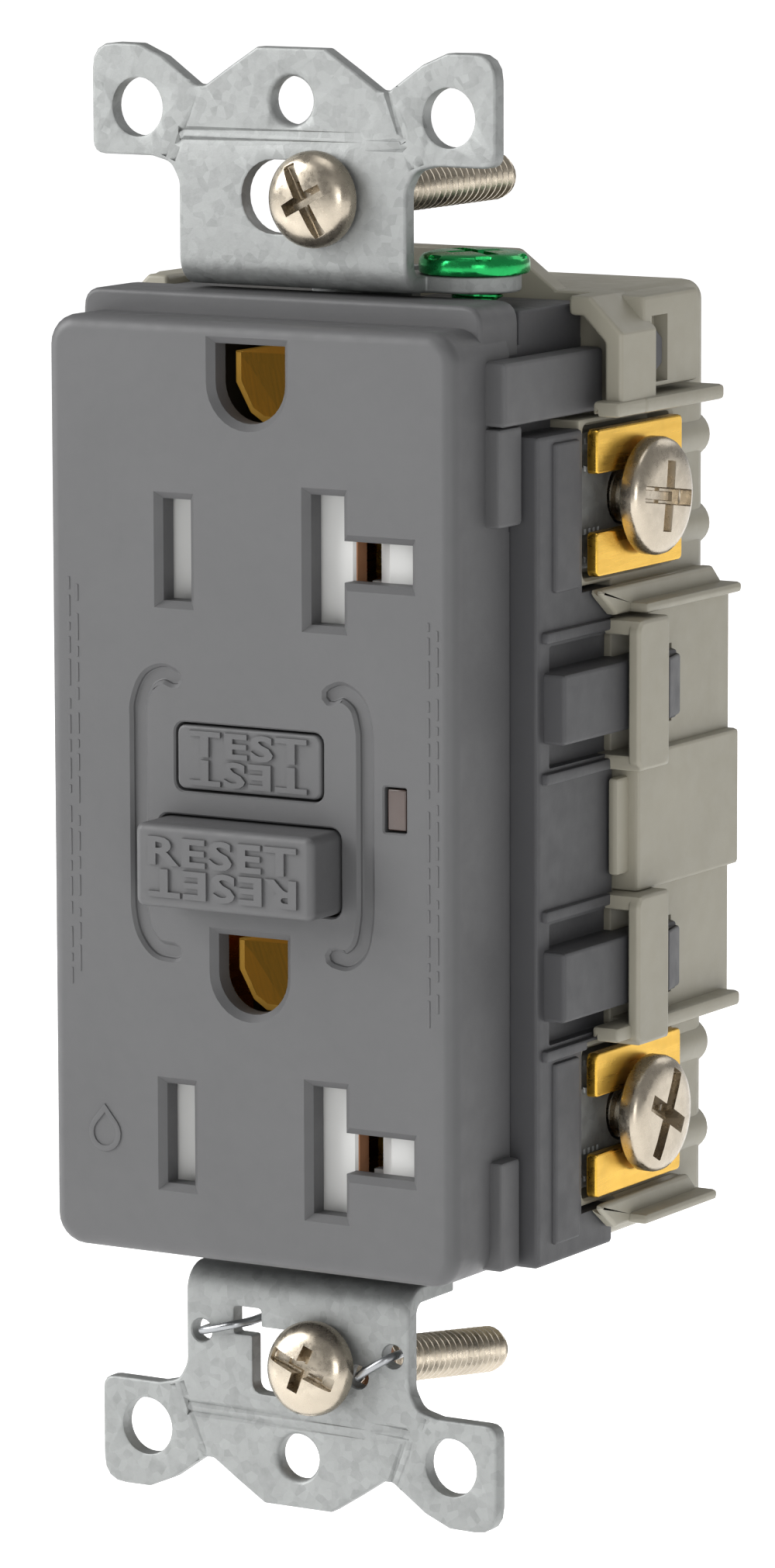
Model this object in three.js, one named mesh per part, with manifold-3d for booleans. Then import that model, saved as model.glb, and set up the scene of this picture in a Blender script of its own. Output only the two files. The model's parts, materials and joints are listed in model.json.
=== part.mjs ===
// Duplex ground-fault receptacle with a rectangular face, 20 A tee slots, test and reset buttons.
// Millimetres, +X right, +Y into the wall, +Z up; origin at the centre of the yoke's front plane.
import * as THREE from "three";
import { mergeVertices } from "three/addons/utils/BufferGeometryUtils.js";
import Module from "manifold-3d";

const wasm = await Module();
wasm.setup();

// ---------- driving dimensions ----------
const GAP = 0.3; // clearance between neighbouring pieces
const TURN = Math.PI * 2;

const FACE = { halfWidth: 16.65, halfHeight: 33.35, front: -6, back: 1.5, thickness: 1.8, corner: 2.2 };
const FACE_WALL = { x: 1.75, z: 1.15 };
const FLANGE = { halfWidth: 16.3, top: 34.9, front: -1.7, back: 3.4 };

const OUTLETS = { upper: 17.15, lower: -24.5 }; // heights of the blade slots
const GROUND_RISE = 12; // from the blade slots up to the ground hole
const GROUND_HOLE = { halfWidth: 2.85, top: 2.7 };
const HOT_SLOT = { x: -6.1, halfWidth: 1.15, halfHeight: 3.6 };
const TEE_SLOT = { x: 6.25, halfWidth: 1.35, halfHeight: 4.55, armEnd: 13.1, armHalf: 1.45 };

const TEST = { z: 2.65, halfWidth: 6.1, halfHeight: 2.45, front: -6.2, travel: 1.2 };
const RESET = { z: -4.65, halfWidth: 7.5, halfHeight: 3.15, front: -9.7 };
const LIGHT = { x: 11.9, z: 0.15, halfWidth: 0.9, halfHeight: 1.6 };

const YOKE = { sheet: 1.2, legIn: 35.2, halfHeight: 52.1, strap: 9.3, webHalf: 4.2, webFront: 9.5 };
const EAR = { x: 12.73, z: 47.6, bore: 2.08, edge: 16.5, bottom: 44.2 };
const PLATE_HOLE = { z: 48.42, bore: 1.7 };
const DEVICE_SLOT = { z: 41.67, halfLength: 4.1, radius: 2.6, squareX: 3.75, squareZ: 2.45 };
const MOUNT_SCREW = { head: 3.4, headHeight: 2, shank: 1.72, length: 25.8 };
const LOWER_TILT = THREE.MathUtils.degToRad(8); // the loose lower screw hangs down

const GROUND_SCREW = { x: 11.3, y: 6, head: 3.9, headHeight: 1.5, shank: 2, tab: 3.3 };

const SCREW_SHIFT = { upper: 2.2, lower: 1.9 }; // how far the loose screws sit to the right
const CLIP_HOLES = [[-8, -40], [8, -40.1], [5.1, -41.9]];
const RESET_PIN = { radius: 1, front: -2.6, back: 14.8 };
const BUTTON_FRAME = { front: 2.5, back: 3.5 };

const MID = { halfWidth: 18.8, front: 1.8, back: 12.6, top: 25.7, bottom: -33, cavity: 15.4 };
const BACK = { halfWidth: 18.4, front: 12.9, back: 28.2, top: 34.8, bottom: -32.9, wall: 1.8, corner: [1.3, 2.3] };
// Each rib across the side of the back body: its height and how far back it runs.
const RIBS = [[27, 24.5], [12.7, 27.2], [-17.3, 27.2], [-31, 23.8]];
const HUMP = { halfTop: 10.2, halfFoot: 14, top: 37.5, thickness: 1.8 };
const TONGUES = { z: [6.65, -12.95], halfHeight: 2.5, out: 20.5, front: 2.6, back: 15.9 };
const HOOP = { inner: 20.8, outer: 21.7, front: 11.1, back: 15.6, halfHeight: 5.35, arm: 1.1 };

const TERMINALS = { upper: 20.4, lower: -23.9 };
const POCKET = { half: 5.9, front: 8.3, back: 21.7, floor: 16.4, rim: 0.6 };
const TERMINAL_PLATE = { inner: 18.7, outer: 19.5, front: 8.9, back: 21.3, half: 5.4, notch: 2.05 };
const TERMINAL_SCREW = { y: 15.5, head: 4.2, headIn: 19.9, headOut: 21.7, shank: 2, tip: 13.9 };
const CLAMP = { inner: 16.7, outer: 17.8, front: 9.4, back: 20.9, half: 4.8 };
const WIRE_HOLE = { x: 17.1, z: 3.2, radius: 1.2, boss: 1.7 };

const BOARD = { front: 22.9, thickness: 1.6, halfWidth: 13.6, halfHeight: 31 };
const SOLENOID = { y: 17, bottom: 4.5, top: 18, flange: 5.3, coil: 5, core: 2.5, bore: 1.9 };
const TOROID = { z: -20, outer: 8.4, inner: 4, thickness: 4.2, front: 13.1 };
const CARRIER = { front: 12.7, back: 16.3, halfWidth: 9, halfHeight: 3.7 };
const SHUTTER = { front: -3.9, back: -2.4, left: -10.5, right: 13.4, half: 5.2, travel: 2.5 };

// ---------- materials ----------
const finish = (color, roughness, metalness) => ({ color, roughness, metalness });
const FINISHES = {
  face_plastic: finish(0x747576, 0.55, 0),
  housing_plastic: finish(0x4d4e50, 0.55, 0),
  body_plastic: finish(0xa3a093, 0.5, 0),
  zinc_steel: finish(0xb4babc, 0.4, 1),
  nickel_screw: finish(0xa79f90, 0.3, 1),
  brass: finish(0xd4ab48, 0.35, 1),
  green_metal: finish(0x1f8a47, 0.3, 0.8),
  spring_steel: finish(0x8b8d8f, 0.35, 1),
  white_plastic: finish(0xe2e2e2, 0.5, 0),
  dark_steel: finish(0x5b5d60, 0.45, 1),
  lens: finish(0x7a5a52, 0.25, 0),
  board_green: finish(0x1e5a34, 0.5, 0),
  copper: finish(0xb5652c, 0.4, 1),
  black_plastic: finish(0x1d1d1f, 0.5, 0),
  fibre: finish(0x8a5a38, 0.8, 0),
  varistor_blue: finish(0x1d4f9c, 0.45, 0),
};

// ---------- solids ----------
// A closed three.js geometry as a manifold solid.
function solid(geometry) {
  const bare = geometry.index ? geometry.toNonIndexed() : geometry.clone();
  bare.deleteAttribute("normal");
  bare.deleteAttribute("uv");
  const merged = mergeVertices(bare, 1e-4);
  return new wasm.Manifold(
    new wasm.Mesh({
      numProp: 3,
      vertProperties: merged.attributes.position.array,
      triVerts: new Uint32Array(merged.index.array),
    }),
  );
}

const union = (first, ...rest) => rest.reduce((sum, next) => sum.add(next), first);
const cut = (from, ...tools) => tools.reduce((left, tool) => left.subtract(tool), from);

// A box between two limits on each axis.
function block([x0, x1], [y0, y1], [z0, z1]) {
  const box = new THREE.BoxGeometry(x1 - x0, y1 - y0, z1 - z0);
  return solid(box.translate((x0 + x1) / 2, (y0 + y1) / 2, (z0 + z1) / 2));
}

const AXIS_TURN = { x: [0, 0, -Math.PI / 2], y: [0, 0, 0], z: [Math.PI / 2, 0, 0] };

// A flat outline (x, y) given a thickness along z.
function sheetZ(shape, z0, z1, curveSegments = 4) {
  const geometry = new THREE.ExtrudeGeometry(shape, { depth: z1 - z0, bevelEnabled: false, curveSegments });
  return solid(geometry.translate(0, 0, z0));
}

// A round bar along x, y or z, between two limits on that axis.
function rod(axis, [a, b], radius, [x, y, z], sides = 20) {
  const bar = new THREE.CylinderGeometry(radius, radius, b - a, sides);
  bar.applyMatrix4(new THREE.Matrix4().makeRotationFromEuler(new THREE.Euler(...AXIS_TURN[axis])));
  const middle = (a + b) / 2;
  return solid(bar.translate(axis === "x" ? middle : x, axis === "y" ? middle : y, axis === "z" ? middle : z));
}

// A flat outline (x, z) given a thickness along y.
function sheetY(shape, y0, y1, curveSegments = 6) {
  const geometry = new THREE.ExtrudeGeometry(shape, { depth: y1 - y0, bevelEnabled: false, curveSegments });
  return solid(geometry.rotateX(Math.PI / 2).translate(0, y1, 0));
}

// A flat outline (y, z) given a thickness along x.
function sheetX(shape, x0, x1, curveSegments = 6) {
  const geometry = new THREE.ExtrudeGeometry(shape, { depth: x1 - x0, bevelEnabled: false, curveSegments });
  const turn = new THREE.Matrix4().makeBasis(
    new THREE.Vector3(0, 1, 0),
    new THREE.Vector3(0, 0, 1),
    new THREE.Vector3(1, 0, 0),
  );
  return solid(geometry.applyMatrix4(turn).translate(x0, 0, 0));
}

function polygon(points) {
  return new THREE.Shape(points.map(([u, v]) => new THREE.Vector2(u, v)));
}

function roundedRectangle(u0, u1, v0, v1, radius) {
  const shape = new THREE.Shape();
  shape.moveTo(u0 + radius, v0);
  shape.lineTo(u1 - radius, v0);
  shape.absarc(u1 - radius, v0 + radius, radius, -Math.PI / 2, 0);
  shape.lineTo(u1, v1 - radius);
  shape.absarc(u1 - radius, v1 - radius, radius, 0, Math.PI / 2);
  shape.lineTo(u0 + radius, v1);
  shape.absarc(u0 + radius, v1 - radius, radius, Math.PI / 2, Math.PI);
  shape.lineTo(u0, v0 + radius);
  shape.absarc(u0 + radius, v0 + radius, radius, Math.PI, Math.PI * 1.5);
  return shape;
}

// A turned piece: profile points (radius, height) about the y axis, head towards -y.
function turned(profile, sides = 16) {
  return solid(new THREE.LatheGeometry(profile.map(([r, h]) => new THREE.Vector2(r, h)), sides));
}

// A wire or coil: a small round section swept along a curve.
function swept(curve, radius, steps, sides = 6) {
  const section = new THREE.Shape();
  for (let i = 0; i < sides; i += 1) {
    const angle = (i / sides) * TURN;
    section[i ? "lineTo" : "moveTo"](radius * Math.cos(angle), radius * Math.sin(angle));
  }
  section.closePath();
  return solid(new THREE.ExtrudeGeometry(section, { extrudePath: curve, steps, bevelEnabled: false }));
}

class Helix extends THREE.Curve {
  constructor(radius, length, turns) {
    super();
    Object.assign(this, { radius, length, turns });
  }
  getPoint(t, target = new THREE.Vector3()) {
    const angle = t * this.turns * TURN;
    return target.set(this.radius * Math.cos(angle), t * this.length, this.radius * Math.sin(angle));
  }
}

// A coil spring along y, from 0 to its length.
function coil(radius, wire, length, turns) {
  return swept(new Helix(radius, length - wire * 2, turns), wire, Math.round(turns * 7), 4).translate(0, wire, 0);
}

// ---------- scene graph ----------
const part = new THREE.Group();

function add(name, finishName, shape, place) {
  const { vertProperties, triVerts } = shape.getMesh();
  const geometry = new THREE.BufferGeometry();
  geometry.setAttribute("position", new THREE.BufferAttribute(new Float32Array(vertProperties), 3));
  geometry.setIndex(new THREE.BufferAttribute(new Uint32Array(triVerts), 1));
  geometry.computeVertexNormals();
  const mesh = new THREE.Mesh(geometry, new THREE.MeshStandardMaterial(FINISHES[finishName]));
  mesh.name = name;
  if (place?.at) mesh.position.set(...place.at);
  if (place?.turn) mesh.rotation.set(...place.turn);
  part.add(mesh);
}

const mirrored = (shape) => shape.mirror([1, 0, 0]);
const flipped = (shape) => shape.mirror([0, 0, 1]);
const bothSides = (shape) => union(shape, mirrored(shape));

// ---------- front cover ----------
// The ground hole has a round foot and a flat top.
function groundHole(z, grow = 0) {
  const half = GROUND_HOLE.halfWidth + grow;
  const shape = new THREE.Shape();
  shape.moveTo(half, GROUND_HOLE.top + grow);
  shape.lineTo(-half, GROUND_HOLE.top + grow);
  shape.lineTo(-half, 0);
  shape.absarc(0, 0, half, Math.PI, TURN);
  return sheetY(shape, FACE.front - 1, FACE.front + FACE.thickness + 1, 8).translate(0, 0, z);
}

function bladeSlots(z, y0, y1, grow = 0) {
  const hot = block(
    [HOT_SLOT.x - HOT_SLOT.halfWidth - grow, HOT_SLOT.x + HOT_SLOT.halfWidth + grow],
    [y0, y1],
    [z - HOT_SLOT.halfHeight - grow, z + HOT_SLOT.halfHeight + grow],
  );
  const upright = block(
    [TEE_SLOT.x - TEE_SLOT.halfWidth - grow, TEE_SLOT.x + TEE_SLOT.halfWidth + grow],
    [y0, y1],
    [z - TEE_SLOT.halfHeight - grow, z + TEE_SLOT.halfHeight + grow],
  );
  const arm = block(
    [TEE_SLOT.x, TEE_SLOT.armEnd + grow],
    [y0, y1],
    [z - TEE_SLOT.armHalf - grow, z + TEE_SLOT.armHalf + grow],
  );
  return [hot, union(upright, arm)];
}

function frontCover() {
  const { halfWidth, halfHeight, front, back, thickness, corner } = FACE;
  const outline = roundedRectangle(-halfWidth, halfWidth, -halfHeight, halfHeight, corner);
  const shell = sheetY(outline, front, back, 3);
  const flange = block(
    [-FLANGE.halfWidth, FLANGE.halfWidth],
    [FLANGE.front, FLANGE.back],
    [halfHeight - FACE_WALL.z, FLANGE.top],
  );
  const feet = bothSides(block([-10.6, -7.5], [FLANGE.front, back], [-halfHeight - 0.85, -halfHeight + 1]));
  const skirt = union(
    block([halfWidth - 1, 18.2], [FLANGE.front, 12.2], [26.6, 31.1]),
    block([halfWidth - 1, 17.8], [FLANGE.front, back], [19.6, 26.5]),
    block([halfWidth - 1, 17.6], [-1.1, back], [-32.8, -25]),
  );
  const hollow = block(
    [-halfWidth + FACE_WALL.x, halfWidth - FACE_WALL.x],
    [front + thickness, FLANGE.back + 1],
    [-halfHeight + FACE_WALL.z, halfHeight - FACE_WALL.z],
  );
  const skirtRelief = bothSides(block([0, 16.75], [back, 13], [19, 31.2]));
  const openings = Object.values(OUTLETS).flatMap((z) => [
    groundHole(z + GROUND_RISE),
    ...bladeSlots(z, front - 1, front + thickness + 1),
  ]);
  const window = (spot, y0, y1) =>
    block(
      [(spot.x ?? 0) - spot.halfWidth, (spot.x ?? 0) + spot.halfWidth],
      [y0, y1],
      [spot.z - spot.halfHeight, spot.z + spot.halfHeight],
    );
  return cut(
    union(shell, flange, feet, skirt, mirrored(skirt)),
    hollow,
    skirtRelief,
    ...openings,
    ...[TEST, RESET, LIGHT].map((spot) => window(spot, front - 1, front + thickness + 1)),
  );
}

// ---------- mounting yoke ----------
const BEND = 2;
const BEND_Z = YOKE.legIn + BEND; // where the flat plate ends and the bend into the leg starts

function earPlate() {
  const { strap, halfHeight: top } = YOKE;
  const side = (s) => [
    [s * strap, BEND_Z],
    [s * strap, 42.6],
    [s * (strap + 0.7), 43.6],
    [s * 11.6, EAR.bottom],
    [s * (EAR.edge - 0.9), EAR.bottom],
    [s * EAR.edge, EAR.bottom + 0.9],
    [s * EAR.edge, top - 1.8],
    [s * (EAR.edge - 0.6), top - 0.6],
    [s * (EAR.edge - 1.9), top],
    [s * 12.6, top - 0.1],
    [s * 11.6, top - 0.4],
    [s * 7.9, 49.4],
    [s * 7.4, 49.3],
    [s * 2.8, top],
  ];
  const holes = [[EAR.x, EAR.z, EAR.bore], [-EAR.x, EAR.z, EAR.bore], [0, PLATE_HOLE.z, PLATE_HOLE.bore]];
  return cut(
    sheetY(polygon([...side(1), ...side(-1).reverse()]), 0, YOKE.sheet),
    ...holes.map(([x, z, r]) => rod("y", [-1, 3], r, [x, 0, z], 16)),
  );
}

function ovalSlot() {
  const { z, halfLength, radius } = DEVICE_SLOT;
  const reach = halfLength - radius;
  return union(
    rod("y", [-1, 3], radius, [reach, 0, z], 16),
    rod("y", [-1, 3], radius, [-reach, 0, z], 16),
    block([-reach, reach], [-1, 3], [z - radius, z + radius]),
  );
}

// The lower slot has a notch, and three holes beside it, for the grounding wire.
function squareSlot() {
  const { squareX, squareZ, z } = DEVICE_SLOT;
  const opening = sheetY(roundedRectangle(-squareX, squareX, z - squareZ, z + squareZ, 0.9), -1, 3, 3);
  const wireNotch = block([-5.3, -3], [-1, 3], [37.9, 39.9]);
  const wireHoles = CLIP_HOLES.map(([x, h]) => rod("y", [-1, 3], 0.85, [x, 0, -h], 10));
  return union(opening, wireNotch, ...wireHoles);
}

function yokeEnd(slot) {
  const { sheet, legIn, strap, webHalf, webFront } = YOKE;
  const legOut = legIn + sheet;
  const bend = new THREE.Shape();
  bend.moveTo(0, BEND_Z);
  bend.absarc(BEND, BEND_Z, BEND, Math.PI, Math.PI * 1.5);
  bend.lineTo(BEND, legOut);
  bend.absarc(BEND, BEND_Z, BEND - sheet, Math.PI * 1.5, Math.PI, true);
  return union(
    cut(earPlate(), slot),
    sheetX(bend, -strap, strap, 4),
    block([-strap, strap], [BEND, 6.5], [legIn, legOut]),
    block([-webHalf, webHalf], [6, webFront + sheet], [legIn, legOut]),
  );
}

function mountingYoke() {
  const { sheet, legIn, webHalf, webFront } = YOKE;
  const legOut = legIn + sheet;
  const through = [webFront - 1, webFront + sheet + 1];
  const groundTab = union(
    rod("z", [legIn, legOut], GROUND_SCREW.tab, [GROUND_SCREW.x, GROUND_SCREW.y, 0], 28),
    block([7, GROUND_SCREW.x], [GROUND_SCREW.y - GROUND_SCREW.tab, 8.6], [legIn, legOut]),
  );
  const web = block([-webHalf, webHalf], [webFront, webFront + sheet], [-legOut, legOut]);
  return cut(
    union(yokeEnd(ovalSlot()), flipped(yokeEnd(squareSlot())), groundTab, web),
    ...Object.values(OUTLETS).map((z) => rod("y", through, 3, [0, 0, z + GROUND_RISE], 16)),
    rod("y", through, RESET_PIN.radius + 0.6, [0, 0, RESET.z], 12),
    rod("z", [legIn - 1, legOut + 1], GROUND_SCREW.shank + GAP, [GROUND_SCREW.x, GROUND_SCREW.y, 0], 16),
  );
}

// ---------- housing and back body ----------
// The recess in each side, front to back, that holds a terminal.
const terminalBox = (z, x, y, grow) => block(x, y, [z - POCKET.half - grow, z + POCKET.half + grow]);

function midHousing() {
  const { halfWidth, front, back, top, bottom, cavity } = MID;
  const narrow = FACE.halfWidth - 0.4;
  const outer = union(
    block([-halfWidth, halfWidth], [front, back], [bottom, top]),
    block([-narrow, narrow], [front, back], [0, 31.9]),
    block([-narrow, narrow], [FLANGE.back + GAP, back], [0, 34.2]),
  );
  const tongues = TONGUES.z.map((z) =>
    block([halfWidth - 1, TONGUES.out], [TONGUES.front, back], [z - TONGUES.halfHeight, z + TONGUES.halfHeight]),
  );
  const tips = TONGUES.z.map((z) =>
    block([BACK.halfWidth + GAP, TONGUES.out], [back - 1, TONGUES.back + 3], [z - TONGUES.halfHeight, z + 2.5]),
  );
  const barbs = TONGUES.z.map((z) =>
    sheetZ(
      polygon([
        [TONGUES.out - 0.5, TONGUES.back],
        [TONGUES.out + 0.9, TONGUES.back + 0.2],
        [TONGUES.out + 0.3, TONGUES.back + 2.8],
        [TONGUES.out - 0.5, TONGUES.back + 2.8],
      ]),
      z - 2.2,
      z + 2.2,
    ),
  );
  const hollow = block([-cavity, cavity], [front - 1, back + 1], [-31.4, 31.4]);
  const terminalCuts = Object.values(TERMINALS).map((z) =>
    terminalBox(z, [cavity - 0.5, 30], [POCKET.front - GAP, 30], GAP),
  );
  const right = cut(
    union(outer, ...tongues, ...tips, ...barbs),
    block([-40, 0], [-1, 40], [-50, 50]),
    ...terminalCuts,
  );
  const { webHalf, webFront } = YOKE;
  return cut(
    bothSides(right),
    hollow,
    block([-webHalf - GAP, webHalf + GAP], [webFront - GAP, 20], [30, 40]),
    block([-webHalf - GAP, webHalf + GAP], [webFront - GAP, 20], [-40, -30]),
    rod("z", [30, 36], GROUND_SCREW.shank + 0.4, [GROUND_SCREW.x, GROUND_SCREW.y, 0], 16),
  );
}

// The frame that wraps over a tongue of the housing and catches its barb.
function hoop(z) {
  const { inner, outer, front, back, halfHeight, arm } = HOOP;
  const root = BACK.halfWidth - 1;
  const bar = block([inner, outer], [front, back], [z - halfHeight, z + halfHeight]);
  const arms = [1, -1].map((s) => {
    const limits = [z + s * (halfHeight - arm), z + s * halfHeight].sort((a, b) => a - b);
    return block([root, outer], [BACK.front, back], limits);
  });
  return union(bar, ...arms);
}

function backBody() {
  const { halfWidth, front, back, top, bottom, wall, corner } = BACK;
  const [cornerX, cornerY] = corner;
  const plan = polygon([
    [-halfWidth, front], [halfWidth, front], [halfWidth, back - cornerY], [halfWidth - cornerX, back],
    [cornerX - halfWidth, back], [-halfWidth, back - cornerY],
  ]);
  const humpOutline = polygon([
    [-HUMP.halfFoot, top - 1], [HUMP.halfFoot, top - 1], [HUMP.halfFoot, top],
    [HUMP.halfTop, HUMP.top], [-HUMP.halfTop, HUMP.top], [-HUMP.halfFoot, top],
  ]);
  const shell = union(sheetZ(plan, bottom, top), sheetY(humpOutline, front, front + HUMP.thickness));
  const pads = union(
    block([halfWidth - 1, 20.6], [front, back - 0.3], [-7.6, 2.3]),
    block([halfWidth - 1, 20.4], [front + 1, 22.1], [28, top]),
    block([halfWidth - 1, 19.8], [15.8, back - 0.3], [-17.5, 12.5]),
  );
  const ribs = RIBS.map(([z, ribBack]) => block([halfWidth - 1, 21.2], [16, ribBack], [z - 0.55, z + 0.55]));
  const cornerClip = union(
    block([HOOP.inner - 1.4, 20.9], [9.9, 14.6], [26.8, 34.4]),
    block([17, 20.9], [9.9, 14.6], [33.2, 34.8]),
  );
  const terminals = Object.values(TERMINALS);
  const blocks = terminals.map((z) => terminalBox(z, [MID.cavity, halfWidth], [POCKET.front, front + 1], 0));
  const pockets = terminals.map((z) =>
    terminalBox(z, [POCKET.floor, 30], [POCKET.front + POCKET.rim, POCKET.back], -POCKET.rim + 0.1),
  );
  const screwHoles = terminals.map((z) => rod("x", [10, 30], 2.4, [0, TERMINAL_SCREW.y, z], 12));
  const wireHoles = terminals.flatMap((z) =>
    [1, -1].map((s) => rod("y", [20, 30], WIRE_HOLE.radius, [WIRE_HOLE.x, 0, z + s * WIRE_HOLE.z], 12)),
  );
  const bosses = terminals.flatMap((z) =>
    [1, -1].map((s) => rod("y", [POCKET.back - 0.5, back - 1.2], WIRE_HOLE.boss, [WIRE_HOLE.x, 0, z + s * WIRE_HOLE.z], 16)),
  );
  const hollow = block([-MID.cavity, MID.cavity], [0, back - wall], [-31.5, 32.4]);
  const features = cut(
    union(pads, ...ribs, cornerClip, ...blocks, ...bosses, ...TONGUES.z.map(hoop)),
    ...TONGUES.z.map((z) =>
      block([BACK.halfWidth, HOOP.inner], [0, 19.2], [z - TONGUES.halfHeight - GAP, z + TONGUES.halfHeight + GAP]),
    ),
  );
  const cuts = union(...pockets, ...screwHoles, ...wireHoles);
  return cut(union(shell, features, mirrored(features)), hollow, cuts, mirrored(cuts));
}

// ---------- fasteners ----------
// A screw along +y with its head's underside at y = 0, for turning into place.
function screw({ head, headHeight, shank, length, recess = 1 }) {
  const profile = [
    [0, -headHeight], [head * 0.55, -headHeight], [head * 0.85, -headHeight * 0.75], [head, -headHeight * 0.3],
    [head, 0], [shank, 0], [shank, length - 0.8], [shank - 0.6, length], [0, length],
  ];
  const cross = [
    block([-0.45, 0.45], [-headHeight - 1, -headHeight + recess], [-head * 0.5, head * 0.5]),
    block([-head * 0.5, head * 0.5], [-headHeight - 1, -headHeight + recess], [-0.45, 0.45]),
  ];
  return cut(turned(profile), ...cross);
}

const washer = (outer, inner, thickness) =>
  cut(rod("y", [0, thickness], outer, [0, 0, 0]), rod("y", [-1, thickness + 1], inner, [0, 0, 0]));

function addMountingScrews() {
  const shape = screw({ ...MOUNT_SCREW });
  const ring = washer(4, MOUNT_SCREW.shank + 0.25, 0.8);
  const { z } = DEVICE_SLOT;
  add("mounting_screw_upper", "nickel_screw", shape, { at: [SCREW_SHIFT.upper, -GAP, z] });
  add("screw_washer_upper", "fibre", ring, { at: [SCREW_SHIFT.upper, YOKE.sheet + GAP, z] });
  const turn = [-LOWER_TILT, 0, 0];
  const along = (distance) => [
    SCREW_SHIFT.lower,
    -0.8 + distance * Math.cos(LOWER_TILT),
    -z - (distance - 1.4) * Math.sin(LOWER_TILT),
  ];
  add("mounting_screw_lower", "nickel_screw", shape, { at: along(0), turn });
  add("screw_washer_lower", "fibre", ring, { at: along(4), turn });
}

function groundScrew() {
  const { head, headHeight, shank } = GROUND_SCREW;
  const profile = [
    [0, -4.6], [shank - 0.4, -4.6], [shank, -4.1], [shank, 0], [head, 0], [head, headHeight * 0.55],
    [head * 0.8, headHeight], [0, headHeight],
  ];
  const upright = solid(new THREE.LatheGeometry(profile.map(([r, h]) => new THREE.Vector2(r, h)), 20));
  const slots = [[0.5, 2.6], [2.6, 0.5]].map(([x, z]) => block([-x, x], [headHeight - 0.7, 9], [-z, z]));
  return cut(upright, ...slots).rotate([90, 0, 0]);
}

function groundClip() {
  const behind = YOKE.sheet + 0.65;
  const inFront = -0.55;
  const [left, right, middle] = CLIP_HOLES;
  const route = [
    [left[0], behind + 0.5, left[1]], [left[0], 0.5, left[1]], [left[0] + 0.6, inFront, left[1] + 0.2],
    [-5.2, inFront, -39.2], [-4.2, 0.5, -39], [-3, behind, -38.6], [0, behind, -38.2],
    [3.4, behind, -38.8], [middle[0], behind, -40.6], [middle[0], 0.5, middle[1]],
    [middle[0] + 0.5, inFront, middle[1] + 0.3], [right[0] - 0.5, inFront, right[1] - 0.3],
    [right[0], 0.5, right[1]], [right[0], behind + 0.5, right[1]],
  ];
  const curve = new THREE.CatmullRomCurve3(route.map((p) => new THREE.Vector3(...p)), false, "centripetal");
  return swept(curve, 0.3, 44, 5);
}

// ---------- buttons ----------
function button({ z, halfWidth, halfHeight, front }, lip) {
  const inside = FACE.front + FACE.thickness + GAP;
  const play = 0.15;
  const cap = sheetY(
    roundedRectangle(-halfWidth + play, halfWidth - play, -halfHeight + play, halfHeight - play, 0.6),
    front,
    inside + 0.5,
    3,
  );
  const flange = block([-halfWidth - lip, halfWidth + lip], [inside, inside + 1], [-halfHeight - 0.5, halfHeight + 0.5]);
  return union(cap, flange).translate(0, 0, z);
}

function addButtons() {
  add("test_button", "face_plastic", button(TEST, 0.7));
  add("reset_button", "face_plastic", button(RESET, 0.9));
  const { radius, front, back } = RESET_PIN;
  const groove = washer(radius + 1, radius - 0.35, 0.8).translate(0, back - 2, 0);
  add("reset_pin", "spring_steel", cut(rod("y", [front, back], radius, [0, 0, 0], 12), groove), {
    at: [0, 0, RESET.z],
  });
  const springStart = front + 0.1;
  const springLength = BUTTON_FRAME.front - 0.2 - springStart;
  add("reset_spring", "spring_steel", coil(1.9, 0.22, springLength, 5), { at: [0, springStart, RESET.z] });
  add("test_spring", "spring_steel", coil(1.4, 0.2, springLength, 5), { at: [0, springStart, TEST.z] });
  add(
    "button_frame",
    "white_plastic",
    cut(
      block([-7.4, 7.4], [BUTTON_FRAME.front, BUTTON_FRAME.back], [-9, 6.5]),
      rod("y", [0, 6], radius + 0.5, [0, 0, RESET.z], 12),
    ),
  );
}

// ---------- shutters ----------
function addShutters() {
  for (const [which, z] of Object.entries(OUTLETS)) {
    const { front, back, left, right, half, travel } = SHUTTER;
    const open = (x, halfX, halfZ) =>
      block([x - halfX + travel, x + halfX + travel], [front - 1, back + 1], [z - halfZ, z + halfZ]);
    const slider = cut(
      block([left, right], [front, back], [z - half, z + half]),
      open(HOT_SLOT.x, HOT_SLOT.halfWidth, HOT_SLOT.halfHeight + 0.3),
      open(TEE_SLOT.x, TEE_SLOT.halfWidth - 0.1, TEE_SLOT.halfHeight),
    );
    add("shutter_" + which, "white_plastic", slider);
    const tray = cut(
      block([-14.4, 14.4], [back + GAP, back + 1.1], [z - half - 0.4, z + half + 0.4]),
      ...bladeSlots(z, -6, 4, 0.2),
    );
    add("shutter_tray_" + which, "white_plastic", tray);
    const room = left - GAP + FACE.halfWidth - FACE_WALL.x - GAP;
    add("shutter_spring_" + which, "spring_steel", coil(0.5, 0.14, room, 5), {
      at: [left - GAP, (front + back) / 2, z],
      turn: [0, 0, Math.PI / 2],
    });
  }
}

// ---------- contacts ----------
function bladeClip(x, halfGap, halfHeight, z) {
  const leaf = (s) => {
    const limits = [x + s * halfGap, x + s * (halfGap + 0.5)].sort((a, b) => a - b);
    return block(limits, [-0.5, 8.3], [z - halfHeight, z + halfHeight]);
  };
  return union(leaf(1), leaf(-1), block([x - halfGap - 0.7, x + halfGap + 0.7], [8, 8.6], [z - halfHeight - 0.2, z + halfHeight + 0.2]));
}

function fixedContact(side) {
  const tongue = block([4.9, 9.2], [7.9, 8.6], [-8, -1.5]);
  const point = rod("y", [8.5, 9.2], 1.4, [6.5, 0, RESET.z], 12);
  return side < 0 ? mirrored(union(tongue, point)) : union(tongue, point);
}

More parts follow.
